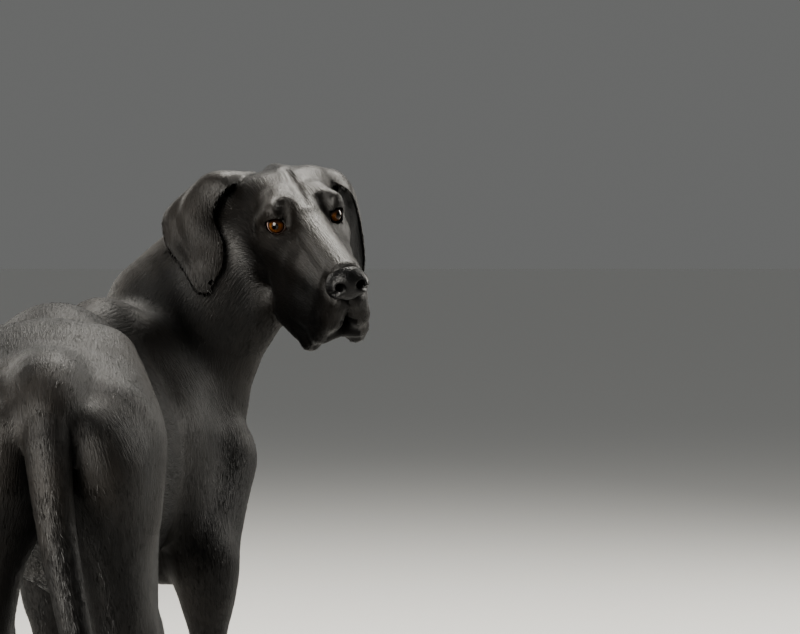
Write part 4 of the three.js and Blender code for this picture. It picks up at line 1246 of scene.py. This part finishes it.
def growTufts(name, roots, ups, lies, growth, rng):
    part, count = parts[name], len(roots)

    def varied(least, more):
        return least + more * rng.random(count)

    across = np.cross(ups, lies)
    sway = rng.normal(0, tuft["sway"], count)[:, None]
    ways = lies + across * sway
    ways /= np.linalg.norm(ways, axis=1, keepdims=True)
    across = np.cross(ups, ways)
    long = part["length"] * varied(*tuft["longs"]) * (1 + growing["longer"] * growth)
    half = part["width"] * varied(*tuft["wides"]) * (1 + growing["wider"] * growth)
    centres = [roots - ups * tuft["sunk"]]
    for share, rise in zip(tuft["share"], tuft["rise"]):
        place = roots + ways * (long * share)[:, None]
        lift = rise * varied(*tuft["rises"]) * (1 + growing["higher"] * growth)
        drop = dogField(*place.astype(np.float32).T) - lift
        drop = np.clip(drop, -tuft["farthest"], tuft["farthest"])
        centres.append(place - ups * drop[:, None])
    root, waist, tip = centres
    rows = []
    for centre, wide in ((root, half * tuft["rootWide"]), (waist, half)):
        side = across * wide[:, None]
        rows += [centre - side, centre + ups * tuft["thick"], centre + side]
    points = np.stack([*rows, tip], 1)
    corners = points.shape[1]
    faces = (np.arange(count)[:, None, None] * corners + np.array(tuft["faces"])).reshape(-1, 3)
    piece = makePiece(f"coat_{name}", points.reshape(-1, 3), faces.tolist(), [coatTufts])
    leaning = ups + across * rng.normal(0, tuft["lean"], count)[:, None]
    leaning += ways * rng.normal(0, tuft["lean"], count)[:, None]
    leaning /= np.linalg.norm(leaning, axis=1, keepdims=True)
    piece.data.normals_split_custom_set_from_vertices(np.repeat(leaning, corners, axis=0).tolist())
    _, along, turn = nearLine(part["line"], roots)
    low, high = along.min(), along.max()
    begin, span = tuft["chart"]
    spot = np.column_stack([begin + span * turn, begin + span * (along - low) / (high - low)])
    places = (spot[:, None, :] + np.array(tuft["patch"]) * tuft["patchSize"]).reshape(-1, 2)
    bake = piece.data.uv_layers.new(name="OFBake")
    bake.data.foreach_set("uv", places[faces.ravel()].astype(np.float32).ravel())
    print("coat", name, count, "tufts")


coatTufts = coatTuftMaterial()
plantTufts()


# Claws: four on each paw, curved down to the floor.
claws = {
    "radius": 4.4,
    "length": 19,
    "taper": 0.7,
    "tip": 0.35,
    "curl": 0.55,
    "narrow": 0.72,
    "slant": 0.35,
    "rings": 7,
    "sides": 8,
    "streaks": 260,
    "strength": 0.2,
    "distance": 0.0004,
    "dark": (0.006, 0.006, 0.006, 1),
    "light": (0.035, 0.030, 0.026, 1),
}


def clawMaterial():
    shader = Shader("claw horn", Roughness=0.32, Specular_IOR_Level=0.5)
    streak = shader.noise(claws["streaks"], 3, stretch=(1, 1, 0.3))
    colour = shader.mixColour(streak, claws["dark"], claws["light"])
    return shader.feed(Base_Color=colour, Normal=shader.bump(streak, claws["strength"], claws["distance"]))


def ringFaces(rings, count):
    # The faces between rings of corners, each ring count long.
    faces = []
    for a in range(0, rings * count, count):
        for j in range(count):
            k = (j + 1) % count
            faces.append((a + j, a + k, a + count + k, a + count + j))
    return faces


def clawShape(start):
    rings, count = claws["rings"], claws["sides"]
    points = []
    for i in range(rings + 1):
        t = i / rings
        r = claws["radius"] * (1 - t) ** claws["taper"] + claws["tip"]
        bend = (0.25 + 0.75 * t) * claws["curl"]
        cx, cz = claws["length"] * t * math.cos(bend), -claws["length"] * t * math.sin(bend)
        for j in range(count):
            a = 2 * math.pi * j / count
            out, across = r * math.sin(a), r * claws["narrow"] * math.cos(a)
            points.append((start[0] + cx + out * claws["slant"], start[1] + across, start[2] + cz + out))
    ends = [tuple(range(count - 1, -1, -1)), tuple(rings * count + j for j in range(count))]
    return points, ringFaces(rings, count) + ends


clawPoints, clawFaces = [], []
for leg, turn in legFrames.items():
    for name in sides:
        wide, high = pawSizes[leg][1:]
        x, y = pawSpot(leg, name)
        for toe in range(4):
            spread, tip = toePlace(pawSizes[leg], toe)
            points, faces = clawShape((x + tip + wide * 0.06, y + spread * wide * 0.345, high * 0.3))
            base = len(clawPoints)
            clawPoints += [tuple(turn @ Vector(p)) for p in points]
            clawFaces += [tuple(base + i for i in face) for face in faces]
makePiece("claws", np.array(clawPoints), clawFaces, [clawMaterial()])
print("claws")


# The nose leather, with its nostrils.
def noseField(x, y, z):
    side = np.abs(y)
    front, width, high = nose["front"], nose["width"], nose["height"]
    d = flesh([
        (front - 23, 0, 7, 22, width * 0.4, high * 0.42, 6),
        (front - 19, width * 0.27, 1, 16, width * 0.21, high * 0.29, 7),
        (front - 21, 0, -6, 15, width * 0.22, high * 0.25, 7),
    ], x, side, z)
    nostril = (front + 4, 11, 4, 6.2, front - 14, 15, 6, 4.4, 1, 4)
    slit = (front, 13, 1, 3, front - 14, 28, -5, 3, 1, 3)
    groove = (front + 2, 0, 0, 1.5, front - 4, 0, -20, 1.5, 1, 3)
    for hollow in (nostril, slit, groove):
        d = carve(d, muscle(hollow, x, side, z), hollow[-1])
    return d


noseLow, noseHigh = (nose["front"] - 50, -42, -34), (nose["front"] + 14, 42, 40)
nosePoints, noseFaces = meshOf(noseField, noseLow, noseHigh, 1.0)
nosePoints = np.stack(through(headFrame, *nosePoints.T), -1)
makePiece("nose_leather", nosePoints, noseFaces, [leatherMaterial()], ["nose"])


# Eyes: balls with a raised cornea, coloured by the angle from the pupil's middle, in radians.
ball = {"rings": 64, "segments": 64, "crowding": 1.3, "inset": 0.5, "cornea": 1.6, "corneaAngle": 0.62}
iris = {
    "stops": [
        (0.0, (0.001, 0.001, 0.001)), (0.26, (0.001, 0.001, 0.001)), (0.30, (0.07, 0.024, 0.005)),
        (0.50, (0.17, 0.068, 0.015)), (0.70, (0.10, 0.037, 0.009)), (0.78, (0.008, 0.006, 0.005)),
        (0.86, (0.02, 0.012, 0.010)), (0.92, (0.40, 0.33, 0.30)), (1.0, (0.42, 0.30, 0.27)),
    ],
    "fibres": 900,
    "ragged": 0.03,
    "shade": (0.004, 0.003, 0.003, 1),  # under the upper lid
    "shadeFrom": 0.12,
}


def eyeMaterial():
    shader = Shader("eye", Roughness=0.2, Specular_IOR_Level=0.3, Coat_Weight=0.7, Coat_Roughness=0.03)
    ring, fibres = shader.attribute("ring"), shader.noise(iris["fibres"], 3)
    angle = ring + fibres * iris["ragged"] - iris["ragged"] / 2
    colour = shader.add("ShaderNodeValToRGB", {"stops": iris["stops"]}, {0: angle})
    shade = ((shader.attribute("shade") - iris["shadeFrom"]) * 4).clamped() * 0.9
    return shader.feed(Base_Color=shader.mixColour(shade, colour, iris["shade"]))


def eyeBall(name, side, finish):
    gaze, centre = eyePlace(side)
    across = Vector((0, 0, 1)).cross(gaze).normalized()
    up = gaze.cross(across)
    rings, segments = ball["rings"], ball["segments"]
    points, ring, shade = [], [], []
    for i in range(rings + 1):
        angle = math.pi * (i / rings) ** ball["crowding"]
        cornea = ball["cornea"] * max(0.0, 1 - (angle / ball["corneaAngle"]) ** 2)
        reach = eye["radius"] - ball["inset"] + cornea
        for j in range(segments):
            turn = 2 * math.pi * j / segments
            out = gaze * math.cos(angle) + (across * math.cos(turn) + up * math.sin(turn)) * math.sin(angle)
            points.append(tuple(headFrame @ (centre + out * reach)))
            ring.append(angle)
            shade.append(out.dot(up))
    faces = ringFaces(rings, segments)
    piece = makePiece(f"eyeball_{name}", np.array(points), faces, [finish], [f"eye_{name}"])
    addAttribute(piece, "ring", "FLOAT", "value", ring)
    addAttribute(piece, "shade", "FLOAT", "value", shade)
    mesh = bmesh.new()
    mesh.from_mesh(piece.data)
    bmesh.ops.remove_doubles(mesh, verts=mesh.verts[:], dist=1e-6)
    bmesh.ops.recalc_face_normals(mesh, faces=mesh.faces[:])
    mesh.to_mesh(piece.data)
    mesh.free()
    piece.data.shade_smooth()


eyeFinish = eyeMaterial()
for name, side in sides.items():
    eyeBall(name, side, eyeFinish)
print("eyes and nose")


# Camera and light.
camera = {
    "place": (-2903, -83, 892),
    "heading": -6.5,
    "down": 2.0,
    "focal": 2400,  # in pixels, as the picture's width
    "width": 800,
    "farthest": 60,
}
lens = bpy.data.cameras.new("camera")
lens.lens = lens.sensor_width * camera["focal"] / camera["width"]
lens.clip_end = camera["farthest"]
cameraObject = bpy.data.objects.new("camera", lens)
cameraObject.location = toModel(camera["place"])
cameraObject.rotation_euler = (math.radians(90 - camera["down"]), 0, math.radians(camera["heading"] - 90))
bpy.context.scene.collection.objects.link(cameraObject)
bpy.context.scene.camera = cameraObject

studio = {
    "tint": (1, 0.97, 0.91),
    "lamps": {
        "above": {"place": (1.5, -0.6, 3.6), "aim": (0.2, -0.1, 0.8), "size": 2.0, "power": 112},
        "far left": {"place": (3.0, 2.3, 2.2), "aim": (0.1, -0.1, 0.8), "size": 2.2, "power": 42},
        "far right": {"place": (1.9, -3.2, 2.0), "aim": (0.1, -0.1, 0.8), "size": 2.2, "power": 64},
        "near left": {"place": (-2.6, 2.3, 1.5), "aim": (0.2, -0.1, 0.8), "size": 2.8, "power": 200},
    },
    "air": (0.80, 0.81, 0.80, 1),
    "airStrength": 0.19,
    "floor": (0.62, 0.615, 0.60, 1),
    "floorGlow": 0.06,  # so that far off it is less dark against the air
    "floorReach": 60,
}


def layFloor():
    reach = studio["floorReach"]
    data = bpy.data.meshes.new("floor")
    corners = [(-reach, -reach, 0), (reach, -reach, 0), (reach, reach, 0), (-reach, reach, 0)]
    data.from_pydata(corners, [], [range(4)])
    glow = {"Emission_Color": studio["air"], "Emission_Strength": studio["floorGlow"]}
    data.materials.append(Shader("floor", Roughness=0.9, Base_Color=studio["floor"], **glow).material)
    floor = bpy.data.objects.new("floor", data)
    bpy.context.scene.collection.objects.link(floor)


def hangLamp(name, place, aim, size, power):
    light = bpy.data.lights.new(name, "AREA")
    light.size, light.energy, light.color = size, power, studio["tint"]
    lamp = bpy.data.objects.new(name, light)
    lamp.location = place
    lamp.rotation_euler = (Vector(aim) - Vector(place)).to_track_quat("-Z", "Y").to_euler()
    bpy.context.scene.collection.objects.link(lamp)


layFloor()
for name, lamp in studio["lamps"].items():
    hangLamp(name, **lamp)
world = bpy.data.worlds.new("studio")
world.use_nodes = True
air = world.node_tree.nodes["Background"].inputs
air["Color"].default_value = studio["air"]
air["Strength"].default_value = studio["airStrength"]
bpy.context.scene.world = world
bpy.context.scene.view_settings.look = "AgX - High Contrast"

print("stage ready")
